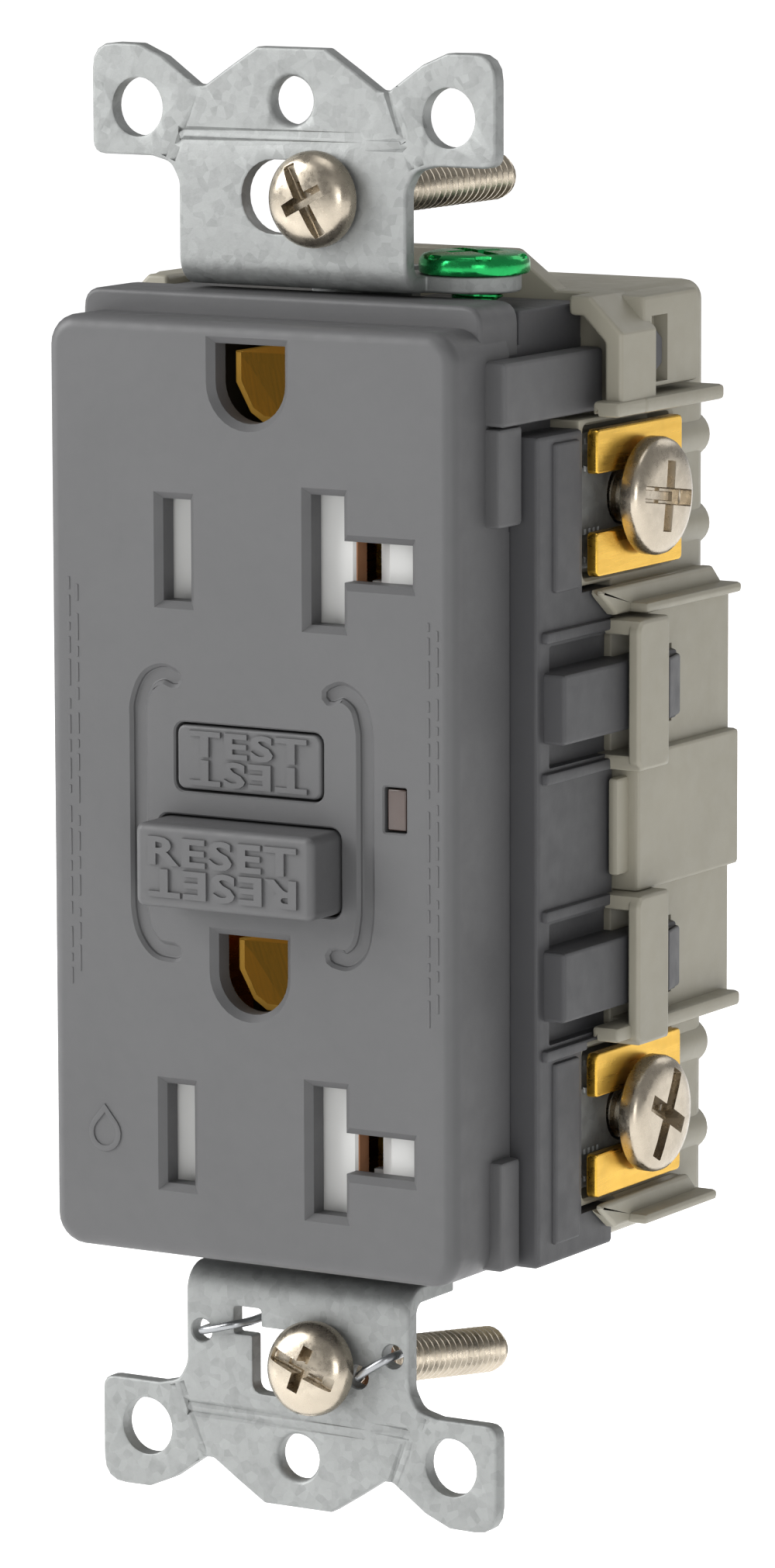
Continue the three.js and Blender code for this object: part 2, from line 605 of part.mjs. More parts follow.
function addContactStrips() {
  const heights = Object.values(OUTLETS);
  const rail = block([-9.4, -8.7], [3, 8.4], [OUTLETS.lower - 3.4, OUTLETS.upper + 3.4]);
  const hotClips = heights.map((z) =>
    union(bladeClip(HOT_SLOT.x, 0.9, 3, z), block([-9, -6.5], [7.9, 8.5], [z - 2.8, z + 2.8])),
  );
  add("hot_strip", "brass", union(rail, fixedContact(-1), ...hotClips));
  const teeClips = heights.map((z) => {
    const jaw = (s) => block([8, 13], [-0.5, 8.3], [z + s * 1.6 - 0.25, z + s * 1.6 + 0.25]);
    return union(bladeClip(TEE_SLOT.x, 0.9, 3.6, z), jaw(1), jaw(-1), block([6.5, 13.2], [7.9, 8.5], [z - 2, z + 2]));
  });
  add("neutral_strip", "brass", union(mirrored(rail), fixedContact(1), ...teeClips));
}

// A sheet cradle round the ground pin, riveted to the yoke's web.
function groundContact(z) {
  const inner = 2.5;
  const outer = 3.1;
  const rise = 1.9;
  const back = YOKE.webFront - GAP;
  const cradle = new THREE.Shape();
  cradle.moveTo(outer, rise);
  cradle.lineTo(inner, rise);
  cradle.lineTo(inner, 0);
  cradle.absarc(0, 0, inner, 0, -Math.PI, true);
  cradle.lineTo(-inner, rise);
  cradle.lineTo(-outer, rise);
  cradle.lineTo(-outer, 0);
  cradle.absarc(0, 0, outer, Math.PI, TURN);
  const foot = cut(
    block([-outer, outer], [back - 0.7, back], [-6.6, rise]),
    rod("y", [0, 12], 2.5, [0, 0, 0], 16),
    rod("y", [0, 12], 1.1, [0, 0, -5], 12),
  );
  return union(sheetY(cradle, -2.5, back, 8), foot).translate(0, 0, z);
}

function addGroundContacts() {
  for (const [which, z] of Object.entries(OUTLETS)) {
    const height = z + GROUND_RISE;
    add("ground_contact_" + which, "brass", groundContact(height));
    const back = YOKE.webFront - GAP;
    const rivet = union(
      rod("y", [back - 1.5, back - 1], 1.6, [0, 0, height - 5], 12),
      rod("y", [back - 1.1, back - 0.2], 0.8, [0, 0, height - 5], 12),
    );
    add("ground_rivet_" + which, "zinc_steel", rivet);
  }
}

// ---------- terminals ----------
function terminalPlate(z) {
  const { inner, outer, front, back, half, notch } = TERMINAL_PLATE;
  const { y } = TERMINAL_SCREW;
  return cut(
    block([inner, outer], [front, back], [z - half + 0.2, z + half - 0.2]),
    block([inner - 1, outer + 1], [front - 1, y], [z - notch, z + notch]),
    rod("x", [inner - 1, outer + 1], notch + 0.35, [0, y, z], 16),
  );
}

function clampPlate(z) {
  const { inner, outer, front, back, half } = CLAMP;
  const groove = (s) => rod("y", [front - 1, back + 1], 0.9, [outer + 0.35, 0, z + s * WIRE_HOLE.z], 10);
  return cut(
    block([inner, outer], [front, back], [z - half, z + half]),
    groove(1),
    groove(-1),
    rod("x", [inner - 1, outer + 1], TERMINAL_SCREW.shank + 0.2, [0, TERMINAL_SCREW.y, z], 16),
  );
}

function terminalScrew(z) {
  const { y, head, headIn, headOut, shank, tip } = TERMINAL_SCREW;
  const shape = screw({ head, headHeight: headOut - headIn, shank, length: headIn - tip, recess: 0.9 });
  return shape.rotate([0, 0, 90]).translate(headIn, y, z);
}

function addTerminals() {
  for (const [level, z] of Object.entries(TERMINALS)) {
    for (const side of ["right", "left"]) {
      const placed = side === "left" ? mirrored : (shape) => shape;
      const name = "_" + level + "_" + side;
      add("terminal_plate" + name, "brass", placed(terminalPlate(z)));
      add("clamp_plate" + name, "zinc_steel", placed(clampPlate(z)));
      add("terminal_screw" + name, side === "left" ? "brass" : "nickel_screw", placed(terminalScrew(z)));
    }
  }
}

// ---------- fault sensing and trip mechanism ----------
function addElectronics() {
  const { front, thickness, halfWidth, halfHeight } = BOARD;
  add("circuit_board", "board_green", block([-halfWidth, halfWidth], [front, front + thickness], [-halfHeight, halfHeight]));
  const seat = front - GAP;
  add("varistor", "varistor_blue", rod("y", [seat - 3, seat], 4.2, [-8.6, 0, 25.5], 20));
  add("capacitor", "black_plastic", rod("y", [seat - 7, seat], 3, [8.6, 0, 25.8], 16));
  add("controller_chip", "black_plastic", block([9.4, 13], [seat - 1.6, seat], [-12, -2]));
  add(
    "light_pipe",
    "lens",
    block(
      [LIGHT.x - LIGHT.halfWidth + 0.15, LIGHT.x + LIGHT.halfWidth - 0.15],
      [FACE.front + 0.2, seat],
      [LIGHT.z - LIGHT.halfHeight + 0.15, LIGHT.z + LIGHT.halfHeight - 0.15],
    ),
  );
}

function addToroids() {
  const { z, outer, inner, thickness, front } = TOROID;
  const names = ["sensing_toroid", "neutral_toroid"];
  names.forEach((name, i) => {
    const start = front + i * (thickness + GAP);
    add(name, "copper", washer(outer, inner, thickness), { at: [0, start, z] });
  });
  const run = [front - 0.8, BOARD.front - GAP];
  add("line_conductor_hot", "copper", rod("y", run, 0.9, [-2, 0, z], 10));
  add("line_conductor_neutral", "copper", rod("y", run, 0.9, [2, 0, z], 10));
}

function addSolenoid() {
  const { y, bottom, top, flange, coil: wound, core, bore } = SOLENOID;
  const plate = (z0) => block([-flange, flange], [y - flange, y + flange], [z0, z0 + 0.8]);
  const along = (r0, r1, z0, z1) => cut(rod("z", [z0, z1], r1, [0, y, 0]), rod("z", [z0 - 1, z1 + 1], r0, [0, y, 0]));
  add(
    "solenoid_bobbin",
    "black_plastic",
    cut(
      union(plate(bottom), plate(top - 0.8), rod("z", [bottom, top], core, [0, y, 0], 16)),
      rod("z", [bottom - 1, top + 1], bore, [0, y, 0], 16),
    ),
  );
  add("solenoid_coil", "copper", along(core + GAP, wound, bottom + 1.1, top - 1.1));
  const capBottom = top + 2.6;
  add(
    "solenoid_plunger",
    "spring_steel",
    union(rod("z", [2.2, capBottom + 0.6], bore - 0.35, [0, y, 0], 16), rod("z", [capBottom, capBottom + 0.6], 2.7, [0, y, 0], 16)),
  );
  add("plunger_spring", "spring_steel", coil(2.1, 0.2, capBottom - top - 0.4, 2.5), {
    at: [0, y, top + 0.2],
    turn: [Math.PI / 2, 0, 0],
  });
}

function addLatch() {
  const { front, back, halfWidth, halfHeight } = CARRIER;
  const { z } = RESET;
  const hole = rod("y", [0, 30], RESET_PIN.radius + 0.6, [0, 0, z], 14);
  add("latch_carrier", "white_plastic", cut(block([-halfWidth, halfWidth], [front, back], [z - halfHeight, z + halfHeight]), hole));
  const slide = cut(
    block([-3, 3], [back + GAP, back + GAP + 0.8], [z - 4.4, z + 6.2]),
    hole,
    hole.translate(0, 0, 1),
    block([-RESET_PIN.radius - 0.6, RESET_PIN.radius + 0.6], [0, 30], [z, z + 1]),
  );
  add("latch_plate", "dark_steel", slide);
  const arm = union(
    block([5, 8], [11.5, 12.2], [TOROID.z - 1, -1]),
    rod("y", [10.7, 11.6], 1.3, [6.5, 0, z], 12),
  );
  add("contact_arm_neutral", "brass", arm);
  add("contact_arm_hot", "brass", mirrored(arm));
}

add("front_cover", "face_plastic", frontCover());
add("mid_housing", "housing_plastic", midHousing());
add("back_body", "body_plastic", backBody());
add("mounting_yoke", "zinc_steel", mountingYoke());
add("ground_screw", "green_metal", groundScrew(), {
  at: [GROUND_SCREW.x, GROUND_SCREW.y, YOKE.legIn + YOKE.sheet + GAP],
});
add("ground_clip", "spring_steel", groundClip());
addMountingScrews();
addButtons();
addShutters();
addContactStrips();
addGroundContacts();
addTerminals();
addElectronics();
addToroids();
addSolenoid();
addLatch();

export default part;
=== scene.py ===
"""Duplex ground-fault receptacle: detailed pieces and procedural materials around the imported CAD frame.

Lengths are millimetres in this file and become metres when a piece is finished.
"""
import json
import math

import bmesh
import bpy
from mathutils import Matrix, Vector, geometry


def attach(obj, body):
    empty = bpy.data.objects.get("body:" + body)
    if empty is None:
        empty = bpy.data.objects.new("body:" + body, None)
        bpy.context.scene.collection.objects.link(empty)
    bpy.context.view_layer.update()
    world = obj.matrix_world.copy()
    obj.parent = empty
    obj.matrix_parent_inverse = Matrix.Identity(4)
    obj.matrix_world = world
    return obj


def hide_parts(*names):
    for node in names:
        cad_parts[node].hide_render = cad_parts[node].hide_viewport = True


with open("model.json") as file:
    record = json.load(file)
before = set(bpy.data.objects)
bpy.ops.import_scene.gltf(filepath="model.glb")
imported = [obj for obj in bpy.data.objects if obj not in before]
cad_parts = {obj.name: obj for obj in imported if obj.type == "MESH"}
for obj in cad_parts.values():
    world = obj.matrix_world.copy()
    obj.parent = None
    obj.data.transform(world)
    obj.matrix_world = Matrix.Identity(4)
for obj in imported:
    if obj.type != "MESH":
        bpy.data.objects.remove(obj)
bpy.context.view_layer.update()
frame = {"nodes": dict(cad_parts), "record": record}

MM = 0.001
TURN = math.tau
SMOOTH_BELOW = math.radians(38)

# ---------- dimensions shared with the CAD ----------
FACE_X, FACE_Z, FACE_FRONT, FACE_WALL, FACE_BACK = 16.65, 33.35, -6.0, 1.8, 1.77
OUTLETS = {"upper": 17.15, "lower": -24.5}
GROUND_RISE = 12
TEST_Z, RESET_Z = 2.65, -4.65
LIGHT_X, LIGHT_Z = 11.9, 0.15
TERMINALS = {"upper": 20.4, "lower": -23.9}
TONGUES = (6.65, -12.95)
SCREW_Y = 15.5
SHEET = 1.2
BEND_Z, BEND_R = 37.2, 2.0
DEVICE_Z = 41.67
LOWER_TILT = math.radians(8)
FLANGE_FRONT, FLANGE_BACK, SKIRT_BACK = -1.7, 3.4, 1.5
TEST_HALF, RESET_HALF = (6.1, 2.45), (7.5, 3.15)
SLOT_END = -3
MARK_HEIGHT = 0.05
BUTTON_PLAY = 0.18
SHUTTER_FRONT = -3.9
CRADLE_BACK = 9.2
STRAP_X, WEB_X, WEB_FRONT, WEB_BACK, SHOULDER_Y = 9.3, 4.2, 9.5, 10.7, 6.5
GROUND_SCREW_X, GROUND_SCREW_Y, GROUND_SCREW_Z = 11.3, 6, 36.5
SCREW_PITCH, SCREW_START = 0.794, -0.4
HOUSING_FRONT, HOUSING_BACK = 1.8, 12.6
BODY_X, BODY_BOTTOM, BODY_TOP, BODY_FRONT, BODY_BACK = 18.4, -32.9, 34.8, 12.9, 28.2
ROOT_X, ROOT_Y = 17.4, 12.95  # where what stands on the body's side starts, inside its wall
WIRE_HOLE_X, WIRE_HOLE_Z = 17.1, 3.2
PLATE_FRONT, PLATE_HALF, POCKET_HALF = 8.9, 5.2, 5.4
CLAMP_INNER, CLAMP_OUTER = 16.7, 17.8
FLOOR_Z, FLOOR_HALF = -0.11, 6

# ---------- outlines ----------


def arc(cx, cy, radius, start, end, steps):
    angles = [math.radians(start + (end - start) * k / steps) for k in range(steps + 1)]
    return [(cx + radius * math.cos(t), cy + radius * math.sin(t)) for t in angles]


def disc(cx, cy, radius, steps=32):
    return arc(cx, cy, radius, 0, 360 * (steps - 1) / steps, steps - 1)


def rounded(u0, u1, v0, v1, radius, steps=4):
    return [
        *arc(u1 - radius, v1 - radius, radius, 0, 90, steps),
        *arc(u0 + radius, v1 - radius, radius, 90, 180, steps),
        *arc(u0 + radius, v0 + radius, radius, 180, 270, steps),
        *arc(u1 - radius, v0 + radius, radius, 270, 360, steps),
    ]


def softened(points, radius, steps=3):
    """A polygon with small arcs for corners; a point may carry its own radius as a third value."""
    out = []
    count = len(points)
    for k, point in enumerate(points):
        here = Vector(point[:2])
        before, after = Vector(points[k - 1][:2]), Vector(points[(k + 1) % count][:2])
        r = point[2] if len(point) > 2 else radius
        into, away = (before - here), (after - here)
        half = into.angle(away) / 2
        reach = min(r / math.tan(half), into.length * 0.49, away.length * 0.49) if half < 1.55 else 0
        if r == 0 or reach < 1e-3:
            out.append(tuple(here))
            continue
        a, b = here + into.normalized() * reach, here + away.normalized() * reach
        for s in range(steps + 1):
            t = s / steps
            out.append(tuple(a * (1 - t) ** 2 + here * (2 * t * (1 - t)) + b * t * t))
    return out


def band(path, half, cap_steps=4):
    """The outline of a stroke of a given half width with round ends along a path."""
    points = [Vector(p) for p in path]
    left, right = [], []
    for k, here in enumerate(points):
        before, after = points[max(k - 1, 0)], points[min(k + 1, len(points) - 1)]
        along = (after - before).normalized()
        normal = Vector((-along.y, along.x)) * half
        left.append(here + normal)
        right.append(here - normal)

    def cap(centre, start):
        radius = start - centre
        return [centre + Matrix.Rotation(-math.pi * s / cap_steps, 2) @ radius for s in range(1, cap_steps)]

    loop = [*left, *cap(points[-1], left[-1]), *reversed(right), *cap(points[0], right[0])]
    return [tuple(p) for p in loop]


def smooth_path(points, steps=5):
    """A Catmull-Rom curve through the points."""
    vectors = [Vector(p) for p in points]
    padded = [2 * vectors[0] - vectors[1], *vectors, 2 * vectors[-1] - vectors[-2]]
    out = []
    for a, b, c, d in zip(padded, padded[1:], padded[2:], padded[3:]):
        for s in range(steps):
            t = s / steps
            square, cube = 2 * a - 5 * b + 4 * c - d, 3 * b - a - 3 * c + d
            out.append(0.5 * (2 * b + (c - a) * t + square * t**2 + cube * t**3))
    return [*out, vectors[-1]]


def signed_area(loop):
    return sum(a[0] * b[1] - b[0] * a[1] for a, b in zip(loop, loop[1:] + loop[:1])) / 2


def shifted(loop, amount):
    """A closed outline moved to its left by a distance, with mitred corners."""
    moved = []
    for before, here, after in zip(loop[-1:] + loop[:-1], loop, loop[1:] + loop[:1]):
        into = (Vector(here) - Vector(before)).normalized()
        away = (Vector(after) - Vector(here)).normalized()
        left = Vector((-into.y - away.y, into.x + away.x))
        moved.append(Vector(here) + left * (amount / max(1 + into.dot(away), 0.3)))
    return moved


def inside(point, loop):
    hit = False
    for a, b in zip(loop, loop[1:] + loop[:1]):
        if (a[1] > point[1]) != (b[1] > point[1]):
            if point[0] < (b[0] - a[0]) * (point[1] - a[1]) / (b[1] - a[1]) + a[0]:
                hit = not hit
    return hit


def rims(low, high, front=0.2, back=0.2, steps=3):
    """Levels (inset, depth) of a wall with a rounded rim at each end."""
    quarter = [math.pi / 2 * k / steps for k in range(steps + 1)]
    near, far = [(0, low)], [(0, high)]
    if front:
        near = [(front * (1 - math.sin(t)), low + front * (1 - math.cos(t))) for t in quarter]
    if back:
        far = [(back * (1 - math.sin(t)), high - back * (1 - math.cos(t))) for t in reversed(quarter)]
    return near + far


# ---------- solids ----------
PLANES = {
    "x": lambda u, v, w: (w, u, v),
    "y": lambda u, v, w: (u, w, v),
    "z": lambda u, v, w: (u, v, w),
}


def solid(bm):
    bmesh.ops.recalc_face_normals(bm, faces=bm.faces)
    mesh = bpy.data.meshes.new("solid")
    bm.to_mesh(mesh)
    bm.free()
    return bpy.data.objects.new("solid", mesh)


def fill(bm, loops):
    """A flat cap between an outer ring of vertices and its holes."""
    if len(loops) == 1:
        bm.faces.new(loops[0][0])
        return
    points, joins, verts = [], [], []
    for ring, flat in loops:
        start, count = len(points), len(flat)
        points += flat
        verts += ring
        joins += [(start + k, start + (k + 1) % count) for k in range(count)]
    _, _, faces, origin, _, _ = geometry.delaunay_2d_cdt(points, joins, [], 1, 1e-5)
    for face in faces:
        corners = [origin[i][0] for i in face]
        centre = sum((points[c] for c in corners), Vector((0, 0))) / len(corners)
        if not any(inside(centre, flat) for _, flat in loops[1:]):
            bm.faces.new([verts[c] for c in corners])


def stack(axis, outline, levels, holes=()):
    """A closed solid along an axis: an outline at each level (inset, depth), and holes (outline, levels)."""
    bm = bmesh.new()
    near, far = [], []
    for index, (loop, steps) in enumerate([(outline, levels), *holes]):
        loop = [tuple(p) for p in loop]
        if (signed_area(loop) > 0) != (index == 0):
            loop.reverse()
        flats = [shifted(loop, inset) for inset, _ in steps]
        rings = []
        for flat, (_, depth) in zip(flats, steps):
            rings.append([bm.verts.new(PLANES[axis](p.x, p.y, depth)) for p in flat])
        for ring, after in zip(rings, rings[1:]):
            for k in range(len(loop)):
                bm.faces.new((ring[k - 1], ring[k], after[k], after[k - 1]))
        near.append((rings[0], flats[0]))
        far.append((rings[-1], flats[-1]))
    fill(bm, near)
    fill(bm, far)
    return solid(bm)


def cutter(axis, outline, surface, bottom, flare=0.0, drop=0.0, foot=0.0):
    """A tool that cuts from outside a surface down to a bottom, with a flared mouth and a rounded foot."""
    way = 1 if bottom > surface else -1
    slope = flare / drop if drop else 0
    levels = [(-flare - slope, surface - way)]
    if drop:
        levels.append((0, surface + way * drop))
    if foot:
        levels += [(0, bottom - way * foot), (foot * 0.35, bottom - way * foot * 0.3), (foot, bottom)]
    else:
        levels.append((0, bottom))
    return stack(axis, outline, levels)


def pin(radius, start, end, steps=24):
    """A plain rod along y, for cutting holes."""
    return stack("y", disc(0, 0, radius, steps), [(0, start), (0, end)])


def box(x, y, z, radius=0.3, steps=2):
    bm = bmesh.new()
    bmesh.ops.create_cube(bm, size=1)
    centre = Vector(((x[0] + x[1]) / 2, (y[0] + y[1]) / 2, (z[0] + z[1]) / 2))
    size = (x[1] - x[0], y[1] - y[0], z[1] - z[0])
    for v in bm.verts:
        v.co = Vector((v.co.x * size[0], v.co.y * size[1], v.co.z * size[2])) + centre
    if radius:
        bmesh.ops.bevel(
            bm, geom=list(bm.edges), offset=radius, segments=steps,
            profile=0.5, affect="EDGES", clamp_overlap=True,
        )
    return solid(bm)


def turned(profile, steps=40):
    """A closed turned solid about y from a profile (radius, y) that starts and ends on the axis."""
    bm = bmesh.new()
    angles = [TURN * k / steps for k in range(steps)]
    rings = []
    for radius, y in profile:
        if radius < 1e-6:
            rings.append([bm.verts.new((0, y, 0))])
        else:
            rings.append([bm.verts.new((radius * math.cos(t), y, radius * math.sin(t))) for t in angles])
    for a, b in zip(rings, rings[1:]):
        for k in range(steps):
            corners = [a[k % len(a)], a[(k + 1) % len(a)], b[(k + 1) % len(b)], b[k % len(b)]]
            bm.faces.new(list(dict.fromkeys(corners)))
    return solid(bm)

def sliced(bm, level, way=1, **options):
    """Cuts a mesh across at a level along y."""
    everything = [*bm.verts, *bm.edges, *bm.faces]
    bmesh.ops.bisect_plane(bm, geom=everything, plane_co=(0, level, 0), plane_no=(0, way, 0), **options)
def thread(crest, root, pitch, start, end, steps=24, tip=0.8):
    """A threaded shank about y, with its start closed flat and its end tapered."""
    shape = [(0.0, root), (0.18, root), (0.42, crest), (0.58, crest), (0.82, root)]
    bm = bmesh.new()
    rows = []
    last = math.ceil((end - start) / pitch) + 1
    for turn in range(-1, last + 1):
        for offset, radius in shape:
            row = []
            for k in range(steps + 1):
                y = min(max(start + (turn + offset + k / steps) * pitch, start), end)
                taper = max(0.0, (y - (end - tip)) / tip) * 0.35
                row.append((radius * (1 - taper), y, TURN * k / steps))
            rows.append(row)
    verts = [[bm.verts.new((r * math.cos(t), y, r * math.sin(t))) for r, y, t in row] for row in rows]
    for a, b in zip(verts, verts[1:]):
        for k in range(steps):
            bm.faces.new((a[k], a[k + 1], b[k + 1], b[k]))
    bmesh.ops.remove_doubles(bm, verts=bm.verts, dist=1e-4)
    bmesh.ops.dissolve_degenerate(bm, dist=1e-4, edges=bm.edges)
    sliced(bm, start + 0.01, -1, clear_outer=True)
    sliced(bm, end - 0.01, clear_outer=True)
    bmesh.ops.holes_fill(bm, edges=[e for e in bm.edges if e.is_boundary], sides=0)
    return solid(bm)


def sweep(points, radius, steps=10):
    """A closed round bar along a path."""
    bm = bmesh.new()
    path = [Vector(p) for p in points]
    side = Vector((0, 0, 1))
    rings = []
    for k, here in enumerate(path):
        along = (path[min(k + 1, len(path) - 1)] - path[max(k - 1, 0)]).normalized()
        side = (side - along * side.dot(along)).normalized()
        other = along.cross(side)
        ring = []
        for s in range(steps):
            angle = TURN * s / steps
            ring.append(bm.verts.new(here + radius * (math.cos(angle) * side + math.sin(angle) * other)))
        rings.append(ring)
    for a, b in zip(rings, rings[1:]):
        for s in range(steps):
            bm.faces.new((a[s - 1], a[s], b[s], b[s - 1]))
    bm.faces.new(rings[0])
    bm.faces.new(rings[-1])
    return solid(bm)


def combined(operation, base, other):
    """The union or difference of two solids."""
    scene = bpy.context.scene.collection
    group = bpy.data.collections.new("operands")
    scene.objects.link(base)
    scene.children.link(group)
    group.objects.link(other)
    tool = base.modifiers.new("combine", "BOOLEAN")
    tool.operation, tool.solver = operation, "MANIFOLD"
    tool.operand_type, tool.collection = "COLLECTION", group
    graph = bpy.context.evaluated_depsgraph_get()
    mesh = bpy.data.meshes.new_from_object(base.evaluated_get(graph), depsgraph=graph)
    for thing in (base, other):
        bpy.data.objects.remove(thing)
    bpy.data.collections.remove(group)
    return bpy.data.objects.new("solid", mesh)


def added(base, *others):
    for other in others:
        base = combined("UNION", base, other)
    return base


def cut(base, *tools):
    for tool in tools:
        base = combined("DIFFERENCE", base, tool)
    return base


def moved(thing, x=0.0, y=0.0, z=0.0):
    thing.data.transform(Matrix.Translation((x, y, z)))
    return thing


def spun(thing, axis, degrees):
    thing.data.transform(Matrix.Rotation(math.radians(degrees), 4, axis))
    return thing


def copied(thing):
    return bpy.data.objects.new("solid", thing.data.copy())


def flipped(thing, axis=0):
    """A mirror copy across x, y or z."""
    other = copied(thing)
    scale = [1, 1, 1]
    scale[axis] = -1
    other.data.transform(Matrix.Diagonal((*scale, 1)))
    other.data.flip_normals()
    return other


def lettering(word, height, depth, stroke=0.0):
    """Raised letters of a word in the x, z plane, standing out towards -y from y = 0 and centred."""
    curve = bpy.data.curves.new("word", "FONT")
    curve.body = word
    curve.size = height / 0.7
    curve.extrude = depth / 2
    curve.offset = stroke
    curve.resolution_u = 3
    curve.space_character = 1.12
    text = bpy.data.objects.new("word", curve)
    bpy.context.scene.collection.objects.link(text)
    graph = bpy.context.evaluated_depsgraph_get()
    mesh = bpy.data.meshes.new_from_object(text.evaluated_get(graph), depsgraph=graph)
    bpy.data.objects.remove(text)
    xs, ys = [v.co.x for v in mesh.vertices], [v.co.y for v in mesh.vertices]
    mesh.transform(Matrix.Translation((-(min(xs) + max(xs)) / 2, -(min(ys) + max(ys)) / 2, 0)))
    mesh.transform(Matrix.Rotation(math.pi / 2, 4, "X"))
    return bpy.data.objects.new("solid", mesh)


def joined(things):
    """Several separate solids as one mesh."""
    bm = bmesh.new()
    for thing in things:
        bm.from_mesh(thing.data)
    mesh = bpy.data.meshes.new("solid")
    bm.to_mesh(mesh)
    bm.free()
    return bpy.data.objects.new("solid", mesh)


# ---------- materials ----------
class Nodes:
    """A material's node tree with short calls to add and link nodes."""

    def __init__(self, name):
        self.material = bpy.data.materials.new(name)
        self.material.use_nodes = True
        self.tree = self.material.node_tree
        self.shader = self.tree.nodes["Principled BSDF"]
        self.where = self.add("ShaderNodeTexCoord").outputs["Object"]

    def add(self, kind, **values):
        node = self.tree.nodes.new(kind)
        for key, value in values.items():
            if hasattr(node, key):
                setattr(node, key, value)
            else:
                node.inputs[key.replace("_", " ").title()].default_value = value
        return node

    def link(self, out, into):
        self.tree.links.new(out, into)

    def stretched(self, scale):
        mapping = self.add("ShaderNodeMapping")
        mapping.inputs["Scale"].default_value = scale
        self.link(self.where, mapping.inputs["Vector"])
        return mapping.outputs["Vector"]

    def noise(self, scale, detail=3.0, roughness=0.5, vector=None):
        node = self.add("ShaderNodeTexNoise", scale=scale, detail=detail, roughness=roughness)
        self.link(vector or self.where, node.inputs["Vector"])
        return node.outputs["Fac"]

    def cells(self, scale, feature="F1"):
        node = self.add("ShaderNodeTexVoronoi", feature=feature, scale=scale)
        self.link(self.where, node.inputs["Vector"])
        return node

    def ramp(self, value, *stops):
        node = self.add("ShaderNodeValToRGB")
        ends = node.color_ramp.elements
        while len(ends) < len(stops):
            ends.new(0.5)
        for end, (position, color) in zip(ends, stops):
            end.position = position
            end.color = color if len(color) == 4 else (*color, 1)
        self.link(value, node.inputs["Fac"])
        return node.outputs["Color"]

    def span(self, value, low, high):
        """Maps the middle of a noise's range, where most of its values lie, to low and high."""
        node = self.add("ShaderNodeMapRange", from_min=0.3, from_max=0.7, to_min=low, to_max=high)
        self.link(value, node.inputs["Value"])
        return node.outputs["Result"]

    def bump(self, height, distance, strength=1.0, normal=None):
        node = self.add("ShaderNodeBump", strength=strength, distance=distance)
        self.link(height, node.inputs["Height"])
        if normal:
            self.link(normal, node.inputs["Normal"])
        return node.outputs["Normal"]

    def set(self, **values):
        for key, value in values.items():
            self.shader.inputs[key.replace("_", " ")].default_value = value
        return self

    def into(self, socket, out):
        self.link(out, self.shader.inputs[socket])
        return self


def tone(hex_color, factor=1.0):
    """A hex colour as linear red, green, blue, made lighter or darker by a factor."""
    parts = [int(hex_color[i : i + 2], 16) / 255 for i in (0, 2, 4)]
    linear = [c / 12.92 if c <= 0.04045 else ((c + 0.055) / 1.055) ** 2.4 for c in parts]
    return tuple(min(c * factor, 1) for c in linear)


def plastic(name, color, roughness=0.5, grain=0.000012, mottle=0.05, scale=2600):
    """Moulded plastic: faint flow mottling, a fine spark-eroded grain and uneven gloss."""
    n = Nodes(name)
    flow = n.noise(90, 4, 0.6)
    n.into("Base Color", n.ramp(flow, (0.3, tone(color, 1 - mottle)), (0.7, tone(color, 1 + mottle))))
    n.into("Roughness", n.span(n.noise(700, 3), roughness - 0.05, roughness + 0.07))
    fine = n.bump(n.noise(scale, 2, 0.6), grain)
    n.into("Normal", n.bump(n.noise(260, 2), grain * 2.5, 0.6, fine))
    n.set(IOR=1.5)
    return n.material


def galvanized(name, color):
    """Zinc-coated sheet: cloudy spangle, fine rolling lines and a slightly pitted surface."""
    n = Nodes(name)
    spangle = n.cells(1500).outputs["Color"]
    cloud = n.noise(900, 4, 0.7)
    mix = n.add("ShaderNodeMix", data_type="RGBA", blend_type="MIX")
    mix.inputs["Factor"].default_value = 0.3
    n.link(cloud, mix.inputs["A"])
    n.link(spangle, mix.inputs["B"])
    shades = [(0.25, tone(color, 0.78)), (0.5, tone(color)), (0.75, tone(color, 1.16))]
    n.into("Base Color", n.ramp(mix.outputs["Result"], *shades))
    n.into("Roughness", n.span(cloud, 0.5, 0.64))
    lines = n.noise(900, 3, 0.6, n.stretched((0.12, 1, 1)))
    rough = n.bump(n.noise(2600, 4, 0.7), 0.00003, 0.8)
    n.into("Normal", n.bump(lines, 0.00002, 0.6, rough))
    n.set(Metallic=0.75)
    return n.material


def metal(name, color, roughness=0.3, stretch=(1, 1, 1), tarnish=0.18, pits=0.00001, metallic=1.0):
    """Drawn or turned metal: tarnish clouds, streaks along the working direction and small pits."""
    n = Nodes(name)
    cloud = n.noise(160, 4, 0.6)
    shades = [(0.28, tone(color, 1 - tarnish)), (0.5, tone(color)), (0.75, tone(color, 1 + tarnish * 0.7))]
    n.into("Base Color", n.ramp(cloud, *shades))
    streak = n.noise(1400, 3, 0.6, n.stretched(stretch))
    n.into("Roughness", n.span(streak, roughness - 0.08, roughness + 0.12))
    n.into("Normal", n.bump(streak, pits, 0.7, n.bump(n.noise(2200, 2), pits * 0.6)))
    n.set(Metallic=metallic)
    return n.material


def lit_contact(name, color):
    """Satin brass deep in a recess, with a faint glow standing for light scattered inside it."""
    n = Nodes(name)
    n.into("Base Color", n.ramp(n.noise(260, 4, 0.6), (0.3, tone(color, 0.8)), (0.7, tone(color, 1.1))))
    streak = n.noise(1200, 3, 0.6, n.stretched((1, 0.1, 1)))
    n.into("Roughness", n.span(streak, 0.36, 0.5))
    n.into("Normal", n.bump(streak, 0.00001))
    n.set(Metallic=0.3, Emission_Color=(*tone("8a6828"), 1), Emission_Strength=0.35)
    return n.material


